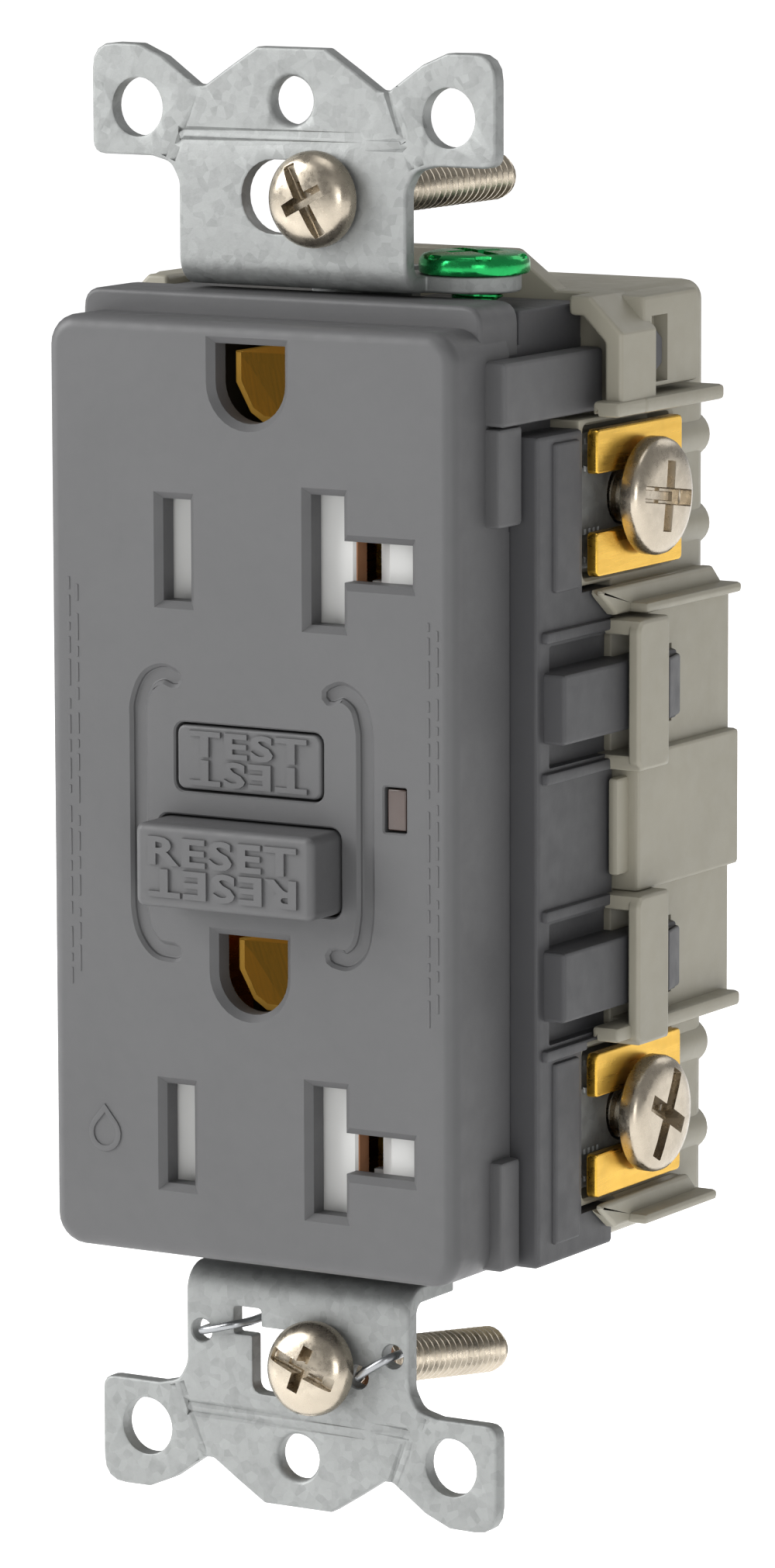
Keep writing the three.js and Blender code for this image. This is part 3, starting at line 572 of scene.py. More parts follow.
def wound(name, color, axis, gap_shade_color="3a2412"):
    """Enamelled wire wound side by side: fine ridges across the winding axis, with painted shade in the gaps
    between turns and a painted highlight along each turn's crest.
    """
    n = Nodes(name)
    wave = n.add("ShaderNodeTexWave", wave_type="BANDS", bands_direction=axis, wave_profile="SIN")
    wave.inputs["Scale"].default_value = 900
    wave.inputs["Distortion"].default_value = 0.4
    n.link(n.where, wave.inputs["Vector"])
    # painted shade in the gaps between turns, painted highlight on each crest
    shades = [(0.05, tone(gap_shade_color)), (0.4, tone(color)), (0.9, tone(color, 1.3))]
    n.into("Base Color", n.ramp(wave.outputs["Fac"], *shades))
    n.into("Roughness", n.span(n.noise(500), 0.22, 0.4))
    n.into("Normal", n.bump(wave.outputs["Fac"], 0.00012))
    n.set(Metallic=0.9)
    return n.material


def clear_lens(name, color):
    n = Nodes(name)
    n.into("Base Color", n.ramp(n.noise(300, 3), (0.3, tone(color, 0.8)), (0.7, tone(color, 1.2))))
    n.into("Roughness", n.span(n.noise(900), 0.12, 0.25))
    n.into("Normal", n.bump(n.noise(1200), 0.00001))
    n.set(Coat_Weight=0.2)
    return n.material


def board(name):
    """Green solder mask with a faint pattern of tracks."""
    n = Nodes(name)
    tracks = n.cells(500, "DISTANCE_TO_EDGE").outputs["Distance"]
    n.into("Base Color", n.ramp(tracks, (0.02, tone("2f7a48")), (0.08, tone("1a5230"))))
    n.into("Roughness", n.span(n.noise(400), 0.28, 0.4))
    n.into("Normal", n.bump(tracks, 0.00003))
    return n.material


MATERIALS = {
    "face": plastic("face_plastic_gray", "515152", 0.52, 0.00001, 0.04),
    "housing": plastic("housing_plastic_dark", "404042", 0.5, 0.00001, 0.05),
    "body": plastic("body_plastic_warm", "8f8b7d", 0.46, 0.000014, 0.05, 2200),
    "zinc": galvanized("galvanized_sheet", "939594"),
    "nickel": metal("nickel_plated_screw", "b5ab9b", 0.26, (1, 1, 1), 0.22, 0.000012),
    "brass": metal("brass_strip", "dcb04a", 0.27, (1, 0.08, 1), 0.2, 0.00001),
    "contact": lit_contact("brass_contact", "c99a44"),
    "green": metal("green_dyed_screw", "23a155", 0.2, (1, 1, 1), 0.3, 0.00002, 0.9),
    "spring": metal("spring_steel_wire", "9a9c9e", 0.3, (1, 1, 0.1), 0.15, 0.000008),
    "white": plastic("shutter_plastic_white", "c9c9c7", 0.42, 0.000006, 0.03),
    "dark_steel": metal("stamped_steel_dark", "66696c", 0.38, (0.1, 1, 1), 0.2),
    "lens": clear_lens("indicator_lens", "423530"),
    "board": board("circuit_board_green"),
    "copper": metal("copper_conductor", "c2703a", 0.3, (1, 0.1, 1), 0.2),
    "winding_y": wound("toroid_winding", "b8692f", "Y"),
    "winding_z": wound("coil_winding", "b8692f", "Z"),
    "black": plastic("black_plastic", "1f1f21", 0.4, 0.00001, 0.1),
    "fibre": plastic("fibre_washer", "8f6242", 0.75, 0.00004, 0.18, 1500),
    "blue": plastic("varistor_coating", "1f56a8", 0.35, 0.00002, 0.08, 900),
}
NODE_FINISH = {
    "face_plastic": "face", "housing_plastic": "housing", "body_plastic": "body", "zinc_steel": "zinc",
    "nickel_screw": "nickel", "brass": "brass", "green_metal": "green", "spring_steel": "spring",
    "white_plastic": "white", "dark_steel": "dark_steel", "lens": "lens", "board_green": "board",
    "copper": "copper", "black_plastic": "black", "fibre": "fibre", "varistor_blue": "blue",
}
SLOT_OF = {part["node"]: part["material_slot"] for part in frame["record"]["subparts"]}
for node_name, node in frame["nodes"].items():
    finish_name = NODE_FINISH[SLOT_OF[node_name]]
    if "toroid" in node_name:
        finish_name = "winding_y"
    elif node_name == "solenoid_coil":
        finish_name = "winding_z"
    node.data.materials.clear()
    node.data.materials.append(MATERIALS[finish_name])


# ---------- finishing a piece ----------
def piece(name, thing, material, nodes=(), body="root", slot=None, flat=False):
    """Names a solid, turns it into metres, shades it and ties it to the frame."""
    thing.name = thing.data.name = name
    thing.data.transform(Matrix.Scale(MM, 4))
    thing.data.materials.clear()
    thing.data.materials.append(MATERIALS[material])
    bpy.context.scene.collection.objects.link(thing)
    thing.data.shade_smooth()
    thing.data.set_sharp_from_angle(angle=SMOOTH_BELOW)
    if not flat:
        normals = thing.modifiers.new("weighted", "WEIGHTED_NORMAL")
        normals.keep_sharp = True
    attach(thing, body)
    nodes = [nodes] if isinstance(nodes, str) else list(nodes)
    if nodes:
        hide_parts(*nodes)
    slot = slot or (SLOT_OF[nodes[0]] if nodes else None)
    return thing


# ---------- front cover ----------
def ground_outline(z):
    return [*arc(0, z, 2.85, 180, 360, 16), (2.85, z + 2.7), (-2.85, z + 2.7)]


def hot_outline(z):
    return [(-7.25, z - 3.6), (-4.95, z - 3.6), (-4.95, z + 3.6), (-7.25, z + 3.6)]


def tee_outline(z):
    return [
        (4.9, z - 4.55), (7.6, z - 4.55), (7.6, z - 1.45), (13.1, z - 1.45),
        (13.1, z + 1.45), (7.6, z + 1.45), (7.6, z + 4.55), (4.9, z + 4.55),
    ]


LEFT_GROOVE = [
    (-6.2, 8.15), (-7.2, 8.4), (-8.4, 7.8), (-9.1, 6.2), (-9.15, 4.6), (-9.15, -2),
    (-9.15, -7), (-9.1, -8.6), (-8.7, -10.1), (-7.7, -11.2), (-6.3, -11.4),
]
RIGHT_GROOVE = [
    (6.7, 7.8), (7.7, 8.1), (8.9, 7.3), (9.4, 5.8), (9.5, 4.2), (9.5, -2),
    (9.5, -6.6), (9.4, -8.2), (9.0, -9.8), (8.0, -10.7), (6.9, -10.6),
]


def front_cover():
    """The face block with its flange, side skirts and lower feet, hollow behind."""
    skirt = [
        box((15.6, 18.2), (FLANGE_FRONT, 12.2), (26.6, 31.1), 0.35),
        box((15.6, 17.8), (FLANGE_FRONT, SKIRT_BACK), (19.6, 26.5), 0.3),
        box((15.6, 17.6), (-1.1, SKIRT_BACK), (-32.8, -25), 0.3),
        box((7.5, 10.6), (FLANGE_FRONT, SKIRT_BACK), (-34.2, -32.3), 0.3),
    ]
    face = rounded(-FACE_X, FACE_X, -FACE_Z, FACE_Z, 2.2, 6)
    shape = stack("y", face, rims(FACE_FRONT, FACE_BACK, 1.0, 0.2, 5))
    flange = softened([(-16.3, 30, 0.1), (16.3, 30, 0.1), (16.3, 34.9, 1.5), (-16.3, 34.9, 1.5)], 1.5, 5)
    flange = stack("y", flange, rims(FLANGE_FRONT, FLANGE_BACK, 0.35, 0.2))
    shape = added(shape, flange, *[flipped(s) for s in skirt], *skirt)
    hollow = box((-14.9, 14.9), (FACE_FRONT + FACE_WALL, 4.4), (-32.2, 32.2), 0)
    relief = box((-16.75, 16.75), (SKIRT_BACK, 13), (19, 31.2), 0)
    shape = cut(shape, hollow, relief)
    tools = []
    for z in OUTLETS.values():
        for outline in (ground_outline(z + GROUND_RISE), hot_outline(z), tee_outline(z)):
            tools.append(cutter("y", outline, FACE_FRONT, SLOT_END, 0.5, 0.48))
    for x, z, half_x, half_z, corner in (
        (0, TEST_Z, *TEST_HALF, 0.75), (0, RESET_Z, *RESET_HALF, 0.75), (LIGHT_X, LIGHT_Z, 0.9, 1.6, 0.15),
    ):
        outline = rounded(x - half_x, x + half_x, z - half_z, z + half_z, corner)
        tools.append(cutter("y", outline, FACE_FRONT, SLOT_END, 0.12, 0.12))
    for path in (LEFT_GROOVE, RIGHT_GROOVE):
        groove = band(smooth_path(path), 0.5)
        tools.append(cutter("y", groove, FACE_FRONT, FACE_FRONT + 0.42, 0.24, 0.22, 0.18))
    return cut(shape, *tools)


piece("front_cover_shell", front_cover(), "face", "front_cover")


def dashes(x, z_from, z_to, gap_every, seed):
    """A column of small raised bars, standing for lines of print."""
    bars, z, k = [], z_from, seed
    while z > z_to:
        length = (0.9, 1.5, 0.6, 1.2, 1.9, 0.75, 1.35)[k % 7]
        depth = (FACE_FRONT - MARK_HEIGHT, FACE_FRONT + 0.1)
        bars.append(box((x - 0.1, x + 0.1), depth, (z - length, z), 0.03, 1))
        z -= length + (0.9 if k % gap_every == gap_every - 1 else 0.42)
        k += 1
    return bars


def raindrop(x, z, size):
    """A generic drop mark for a weather resistant device."""
    outline = [(x, z + size * 1.55), *arc(x, z, size, 40, -220, 14)]
    inner = shifted(outline if signed_area(outline) > 0 else outline[::-1], size * 0.3)
    levels = rims(FACE_FRONT - 0.1, FACE_FRONT + 0.1, 0.03, 0)
    return stack("y", outline, levels, [([tuple(p) for p in inner], levels)])


marks = [
    *dashes(-14.9, 14.8, -14.6, 5, 0), *dashes(-14.2, 14.3, -13.8, 4, 3),
    *dashes(14.6, 13.4, -14.2, 5, 2), *dashes(15.3, 12.9, -13.0, 4, 5),
    raindrop(-12.2, -24.9, 1.35),
]
piece("face_marks", joined(marks), "face", slot="face_plastic")


# ---------- buttons ----------
def button(half_x, half_z, front, lip, edge, word, letter, rise):
    """A button cap with a lip behind the face, and its word twice, once for each way up."""
    inside_y = FACE_FRONT + FACE_WALL + 0.3
    x, z = half_x - BUTTON_PLAY, half_z - BUTTON_PLAY
    cap = stack("y", rounded(-x, x, -z, z, 0.62, 4), rims(front, inside_y + 0.5, edge, 0, 4))
    lip_x, lip_z = half_x + lip, half_z + 0.5
    cap = added(cap, box((-lip_x, lip_x), (inside_y, inside_y + 1), (-lip_z, lip_z), 0.15))
    words = []
    for way in (1, -1):
        row = moved(lettering(word, letter, 0.5, 0.08), 0, front + 0.06, 0)
        scale = (half_x * 2 - rise) / max(v.co.x for v in row.data.vertices) / 2
        row.data.transform(Matrix.Diagonal((scale, 1, 1, 1)))
        moved(row, 0, 0, letter * 0.6)
        if way < 0:
            spun(row, "Y", 180)
        words.append(row)
    return cap, joined(words)


for which, z, half_x, half_z, front, lip, edge, word, letter, rise in (
    ("test", TEST_Z, *TEST_HALF, -6.2, 0.7, 0.22, "TEST", 1.7, 2.5),
    ("reset", RESET_Z, *RESET_HALF, -9.7, 0.9, 0.55, "RESET", 1.9, 2.8),
):
    cap, words = button(half_x, half_z, front + 0.2, lip, edge, word, letter, rise)
    piece(which + "_button_cap", moved(cap, z=z), "face", which + "_button", which + "_button")
    piece(which + "_button_word", moved(words, z=z), "face", (), which + "_button", "face_plastic", flat=True)

lens = stack("y", rounded(-0.75, 0.75, -1.45, 1.45, 0.12, 2), rims(-5.75, 22.5, 0.12, 0.1))
piece("indicator_lens_block", moved(lens, LIGHT_X, 0, LIGHT_Z), "lens", "light_pipe")


# ---------- shutters and their trays ----------
def shutter(z):
    """A slider with a window for each blade and a ramp beside the tee slot's window."""
    def window(x0, x1, half):
        return cutter("y", rounded(x0, x1, z - half, z + half, 0.25, 2), SHUTTER_FRONT, -2, 0.2, 0.2)

    plate = box((-10.5, 13.4), (SHUTTER_FRONT, -2.4), (z - 5.2, z + 5.2), 0.18)
    ramp = [(8.6, -2.5), (8.6, -4.3), (10.5, -4.3), (10.3, -3.9), (8.75, -2.5)]
    slope = stack("z", ramp, rims(z - 4.1, z + 4.1, 0, 0))
    return cut(plate, window(-4.75, -2.45, 3.9), window(7.5, 8.8, 4.55), slope)


def tray(z):
    plate = box((-14.4, 14.4), (-2.1, -1.3), (z - 5.6, z + 5.6), 0.1)
    slots = (hot_outline(z), tee_outline(z))
    return cut(plate, *[stack("y", shifted(slot, -0.2), [(0, -3), (0, 0)]) for slot in slots])


for which, z in OUTLETS.items():
    piece("shutter_slider_" + which, shutter(z), "white", "shutter_" + which, "shutter_" + which)
    piece("shutter_base_" + which, tray(z), "white", "shutter_tray_" + which)
    # Painted shade: a thin brown fibre-coloured sheet on the left wall of the tee slot's window, standing for
    # the warm shadow inside that wall; the shutter has no such part.
    window_shade = box((7.42, 7.58), (-3.72, -2.45), (z - 3.9, z + 3.9), 0.03, 1)
    piece("shutter_lining_" + which, window_shade, "fibre", (), "shutter_" + which, "fibre")


# ---------- ground contacts ----------
def ground_cradle(z):
    """A folded strip round the ground pin, with creases where the sheet turns."""
    outer = [
        (3.1, 1.9), (3.1, -0.3), (1.9, -2.4), (0.8, -3.1),
        (-0.8, -3.1), (-1.9, -2.4), (-3.1, -0.3), (-3.1, 1.9),
    ]
    inner = [
        (-2.5, 1.9), (-2.5, -0.15), (-1.55, -1.95), (-0.65, -2.5),
        (0.65, -2.5), (1.55, -1.95), (2.5, -0.15), (2.5, 1.9),
    ]
    corners = [(x, v, 0.05 if v == outer[0][1] else 0.3) for x, v in outer + inner]
    cradle = stack("y", softened(corners, 0.25, 2), rims(-2.5, CRADLE_BACK, 0.12, 0.1))
    rivet_hole = (disc(0, -5, 1.1, 20), [(0, 8.5), (0, CRADLE_BACK)])
    foot = stack("y", rounded(-3.1, 3.1, -6.6, -3.0, 0.6), rims(8.5, CRADLE_BACK, 0.1, 0.1), [rivet_hole])
    return moved(joined([cradle, foot]), z=z)


for which, z in OUTLETS.items():
    piece("ground_cradle_" + which, ground_cradle(z + GROUND_RISE), "contact", "ground_contact_" + which)


# ---------- mounting yoke ----------
BEND_MID = BEND_R - SHEET / 2
BEND_ARC = BEND_MID * math.pi / 2


def folded(v, w):
    """Turns a distance along the flat strip and a depth into y and z."""
    past = BEND_Z - v
    if past <= 0:
        return w, v
    if past < BEND_ARC:
        angle = past / BEND_MID
        return BEND_R - (BEND_R - w) * math.cos(angle), BEND_Z - (BEND_R - w) * math.sin(angle)
    return BEND_R + past - BEND_ARC, BEND_Z - BEND_R + w


def unfolded(y):
    """The flat strip's distance at a given depth on the leg."""
    return BEND_Z - BEND_ARC - (y - BEND_R)


def yoke_end(upper):
    """One end of the yoke, made flat with its holes and then bent back into the leg."""
    side = [
        (STRAP_X, BEND_Z, 0), (STRAP_X, 42.5, 1.6), (10.0, 43.8, 1.2), (11.6, 44.2, 0.8), (16.5, 44.2, 1.0),
        (16.5, 52.1, 1.9), (12.6, 52.05, 0.8), (10.6, 51.2, 0.6), (7.9, 49.3, 0.6), (7.1, 49.3, 0.6),
        (5.0, 50.7, 0.5), (2.8, 52.1, 0.5),
    ]
    other = [(-x, *rest) for x, *rest in reversed(side)]
    shoulder, end, tab_centre = unfolded(SHOULDER_Y), unfolded(WEB_BACK), unfolded(GROUND_SCREW_Y)
    leg_left = [(-STRAP_X, shoulder, 0.4), (-WEB_X, shoulder, 0), (-WEB_X, end, 0), (WEB_X, end, 0)]
    round_tab = [(x, v, 0) for x, v in arc(GROUND_SCREW_X, tab_centre, 3.3, -115, 90, 20)]
    neck = [(WEB_X, shoulder, 0), (7, shoulder, 0), (7, unfolded(8.7), 0.6)]
    tab = [*neck, *round_tab, (STRAP_X, unfolded(2.7), 0.2)]
    plain = [(WEB_X, shoulder, 0), (STRAP_X, shoulder, 0.4)]
    outline = softened([*side, *other, *leg_left, *(tab if upper else plain)], 0.4, 4)
    rim = rims(0, SHEET, 0.22, 0.12, 3)
    sunk = [(0.3, 0), (0.12, 0.12), (0, 0.3), (0, SHEET - 0.05), (0.05, SHEET)]
    punched = [(0.14, 0), (0.03, 0.06), (0, 0.18), (0, SHEET)]
    holes = [(disc(x, 47.6, 2.08, 36), punched) for x in (12.73, -12.73)]
    holes.append((disc(0, 48.42, 1.7, 32), sunk))
    if upper:
        slot = [*arc(1.5, DEVICE_Z, 2.6, -90, 90, 14), *arc(-1.5, DEVICE_Z, 2.6, 90, 270, 14)]
        holes.append((disc(GROUND_SCREW_X, tab_centre, 2.3, 28), [(0, 0), (0, SHEET)]))
    else:
        half_x, low, high = 3.75, DEVICE_Z - 2.45, DEVICE_Z + 2.45
        step, clip_seats = low + 0.7, ((-8, 40), (8, 40.1), (5.1, 41.9))
        slot = [
            (-half_x, step, 0.2), (-5.3, step, 0.2), (-5.3, 37.9, 0.3), (-3, 37.9, 0.3),
            (-3, low, 0.2), (half_x, low, 0.9), (half_x, high, 0.9), (-half_x, high, 0.9),
        ]
        slot = softened(slot, 0.3, 4)
        holes += [(disc(x, v, 0.85, 16), [(0.08, 0), (0, 0.1), (0, SHEET)]) for x, v in clip_seats]
    holes.append((slot, punched))
    flat = stack("z", outline, rim, holes)  # x, distance along the strip, depth
    bm = bmesh.new()
    bm.from_mesh(flat.data)
    for k in range(9):
        sliced(bm, BEND_Z - BEND_ARC * k / 8, dist=1e-5)
    for v in bm.verts:
        y, z = folded(v.co.y, v.co.z)
        v.co = Vector((v.co.x, y, z))
    shape = solid(bm)
    scores = []
    for z in (46.1, 45.4):
        line = spun(box((-STRAP_X, STRAP_X), (-0.24, 0.24), (-0.24, 0.24), 0), "X", 45)
        scores.append(moved(line, 0, -0.06, z))
    lean = math.degrees(math.atan2(2.1, 5.5))
    for s in (1, -1):
        for gap in (0, 0.75):
            line = spun(spun(box((-0.22, 0.22), (-0.22, 0.22), (-2.9, 2.9), 0), "Z", 45), "Y", -s * lean)
            scores.append(moved(line, s * (8.75 + gap), -0.06, 46.65 + gap * 0.4))
    return cut(shape, *scores)


upper_end = yoke_end(True)
lower_end = flipped(yoke_end(False), 2)
web_holes = [disc(0, z + GROUND_RISE, 3, 28) for z in OUTLETS.values()] + [disc(0, RESET_Z, 1.6, 20)]
web = stack(
    "y", rounded(-WEB_X, WEB_X, -35.3, 35.3, 0.2, 1), rims(WEB_FRONT, WEB_BACK, 0.15, 0.15, 2),
    [(hole, [(0, WEB_FRONT), (0, WEB_BACK)]) for hole in web_holes],
)
piece("yoke_strap", joined([upper_end, lower_end, web]), "zinc", "mounting_yoke")


# ---------- screws ----------
def recess(reach, width, depth, surface, slot_reach):
    """A cross recess that narrows as it goes in, with a plain slot across it."""
    w, r = width / 2, reach
    cross = [
        (w, w), (w, r), (-w, r), (-w, w), (-r, w), (-r, -w),
        (-w, -w), (-w, -r), (w, -r), (w, -w), (r, -w), (r, w),
    ]
    mouth = [(-0.12, surface - 1), (-0.03, surface - 0.02), (0.02, surface + 0.15)]
    tool = stack("y", cross, [*mouth, (w * 0.5, surface + depth * 1.25)])
    half = width * 0.52
    return added(tool, box((-slot_reach, slot_reach), (surface - 1.03, surface + depth), (-half, half), 0.08, 1))


def round_head(radius, height, flat, steps=48):
    """Head profile about y with its underside at y = 0 and its crown towards -y."""
    crown = [(flat * radius * k / 3, -height + 0.05 * height * (k / 3) ** 2) for k in range(4)]
    shoulder = []
    for k in range(1, 7):
        t = math.pi / 2 * k / 6
        across = radius * (flat + (1 - flat) * math.sin(t))
        shoulder.append((across, -height * 0.95 + height * 0.72 * (1 - math.cos(t))))
    return turned([*crown, *shoulder, (radius, -0.12), (radius - 0.12, 0), (0, 0)], steps)


def screw(head, height, flat, shank, length, turn):
    """A mounting screw along y with its head's underside at y = 0."""
    body = round_head(head, height, flat)
    body = cut(body, recess(head * 0.5, head * 0.27, 1.0, -height + 0.02, 2.75))
    spun(body, "Y", turn)
    return added(body, thread(shank, shank * 0.8, SCREW_PITCH, SCREW_START, length))


def place(thing, x, y, z, tilt=0.0):
    thing.data.transform(Matrix.Rotation(-tilt, 4, "X"))
    return moved(thing, x, y, z)


upper_seat, lower_seat = (2.2, -0.3, DEVICE_Z), (1.9, -0.8, -DEVICE_Z + 1.4 * math.sin(LOWER_TILT))
for which, seat, tilt, turn in (("upper", upper_seat, 0, 62), ("lower", lower_seat, LOWER_TILT, 20)):
    shape = place(screw(3.4, 2.0, 0.42, 1.72, 25.8, turn), *seat, tilt)
    piece("device_screw_" + which, shape, "nickel", "mounting_screw_" + which, "mounting_screw_" + which)

lower_seat = (1.9, -0.8 + 4 * math.cos(LOWER_TILT), -DEVICE_Z - 2.6 * math.sin(LOWER_TILT))
for which, seat, tilt in (("upper", (2.2, 1.5, DEVICE_Z), 0.0), ("lower", lower_seat, LOWER_TILT)):
    radii = [1.97 if k % 2 else 2.15 for k in range(24)]
    hole = [(r * math.cos(TURN * k / 24), r * math.sin(TURN * k / 24)) for k, r in enumerate(radii)]
    levels = [(0.08, 0), (0, 0.1), (0, 0.7), (0.08, 0.8)]
    washer = stack("y", arc(0, 0, 4, 0, 351, 39), rims(0, 0.8, 0.12, 0.12, 2), [(hole, levels)])
    washer = place(washer, *seat, tilt)
    piece("retainer_washer_" + which, washer, "fibre", "screw_washer_" + which, "screw_washer_" + which)

# The grounding screw stands upright in the yoke's tab.
GROUND_HEAD = [
    (0, -1.5), (1.6, -1.5), (3.1, -1.45), (3.6, -1.3), (3.85, -1.0),
    (3.9, -0.7), (3.9, -0.15), (3.8, 0), (0, 0),
]
head = turned(GROUND_HEAD, 56)
notches = []
for k in range(6):
    notch = moved(box((-0.35, 0.35), (-1.9, -1.05), (-0.6, 0.6), 0.1, 1), x=3.75)
    notches.append(spun(notch, "Y", 60 * k + 15))
head = cut(head, recess(2.0, 0.95, 0.9, -1.48, 3.1), *notches)
shape = added(spun(head, "Y", 35), thread(2.0, 1.6, SCREW_PITCH, SCREW_START, 4.6, tip=0.7))
shape = moved(spun(shape, "X", -90), GROUND_SCREW_X, GROUND_SCREW_Y, GROUND_SCREW_Z)
piece("grounding_screw", shape, "green", "ground_screw", "ground_screw")


# ---------- grounding clip wire ----------
WIRE_BACK, WIRE_FRONT = SHEET + 0.65, -0.55
clip_route = [
    (-8, WIRE_BACK + 0.5, -40), (-8, 0.5, -40), (-7.4, WIRE_FRONT, -39.8), (-5.2, WIRE_FRONT, -39.2),
    (-4.2, 0.5, -39), (-3, WIRE_BACK, -38.6), (0, WIRE_BACK, -38.2), (3.4, WIRE_BACK, -38.8),
    (5.1, WIRE_BACK, -40.6), (5.1, 0.5, -41.9), (5.6, WIRE_FRONT, -41.6), (7.5, WIRE_FRONT, -40.4),
    (8, 0.5, -40.1), (8, WIRE_BACK + 0.5, -40.1),
]
piece("grounding_wire_clip", sweep(smooth_path(clip_route, 6), 0.3), "spring", "ground_clip")


# ---------- middle housing ----------
def middle_half():
    """The right half of the housing between the cover and the back body."""
    shape = added(
        box((-1, 18.8), (HOUSING_FRONT, HOUSING_BACK), (-33, 25.7), 0.35),
        box((-1, 16.25), (1.85, 12.55), (0, 31.9), 0.3),
        box((-1, 16.25), (3.7, 12.5), (0, 34.2), 0.3),
    )
    recesses = [box((18.0, 19.5), (3.4, 20), (z - 4.3, z + 4.3), 0.2) for z in TONGUES]
    shape = cut(shape, *recesses)
    extras = []
    for z in TONGUES:
        extras.append(box((17, 20.5), (2.6, 18.9), (z - 2.5, z + 2.5), 0.3))
        extras.append(box((18, 19.25), (2.4, HOUSING_BACK), (z + 4.55, z + 5.35), 0.18))
        extras.append(box((18, 19.25), (2.4, HOUSING_BACK), (z - 5.35, z - 4.55), 0.18))
    for low, high in ((14.6, 25.1), (-31.6, -18.6)):
        extras.append(box((18.4, 19.1), (3.9, 7.4), (low, high), 0.25))
    shape = added(shape, *extras)
    behind = [box((10, 18.7), (12.65, 30), (z - 4, z + 4), 0) for z in TONGUES]
    barbs = []
    for z in TONGUES:
        side = [(20.0, 15.9), (21.4, 16.1), (20.8, 18.7), (20.0, 18.7)]
        barbs.append(stack("z", softened(side, 0.12, 2), rims(z - 2.2, z + 2.2, 0.25, 0.25, 2)))
    shape = cut(added(shape, *barbs), *behind)
    terminal_cuts = [box((14.9, 30), (8.0, 30), (z - 6.2, z + 6.2), 0) for z in TERMINALS.values()]
    return cut(shape, *terminal_cuts, box((-5, 0), (-1, 40), (-50, 50), 0))


def middle_housing():
    right = middle_half()
    whole = added(flipped(right), moved(right, -0.001))
    return cut(
        whole,
        box((-15.4, 15.4), (0.8, 13.6), (-31.4, 31.4), 0),
        box((-4.5, 4.5), (9.2, 20), (30, 40), 0), box((-4.5, 4.5), (9.2, 20), (-40, -30), 0),
        moved(spun(pin(2.4, -3, 3), "X", 90), GROUND_SCREW_X, GROUND_SCREW_Y, 33),
    )


wedge = softened([(15.3, 28.7), (17.1, 29.6), (17.1, 31.4), (15.3, 32.8)], 0.25, 2)
wedge = stack("x", wedge, rims(19.35, 20.2, 0.1, 0.2, 2))
piece("middle_housing", joined([middle_housing(), wedge, flipped(wedge)]), "housing", "mid_housing")


# ---------- back body ----------
def terminal_tub(z):
    """The open-fronted box that holds one terminal."""
    return box((15.4, BODY_X), (8.3, 14), (z - 5.9, z + 5.9), 0.25)


def hoop(z):
    """The clip that a tongue of the housing snaps into."""
    bar = stack("x", rounded(11.1, 15.6, z - 5.35, z + 5.35, 0.9, 4), rims(20.8, 21.7, 0.15, 0.3, 3))
    arms = [box((ROOT_X, 21.68), (11.3, 15.6), sorted((z + s * 4.25, z + s * 5.35)), 0.25) for s in (1, -1)]
    return bar, *arms


def shelf(bottom, reach):
    """The ledge under a terminal: a sloping front end beside the housing and a lip along its foot."""
    top = bottom + 2
    side = [
        (8.6, top), (reach - 1.8, top), (reach - 0.6, bottom + 0.9), (reach - 0.6, bottom), (11.4, bottom),
    ]
    return [
        stack("x", softened(side, 0.35, 3), rims(18.95, 19.8, 0, 0.3)),
        box((ROOT_X, 19.7), (ROOT_Y, reach - 1.8), (bottom + 0.05, top - 0.05), 0.1),
        box((ROOT_X, 21.2), (13.2, reach), (bottom, bottom + 0.75), 0.28),
    ]


def ledge(z, reach):
    """The rib above a terminal, reaching forward beside the housing and ending in a rounded tip."""
    rib = (z - 0.55, z + 0.55)
    return [box((18.95, 21.1), (9.2, 14), rib, 0.3), box((ROOT_X, 21.2), (ROOT_Y, reach), rib, 0.32)]


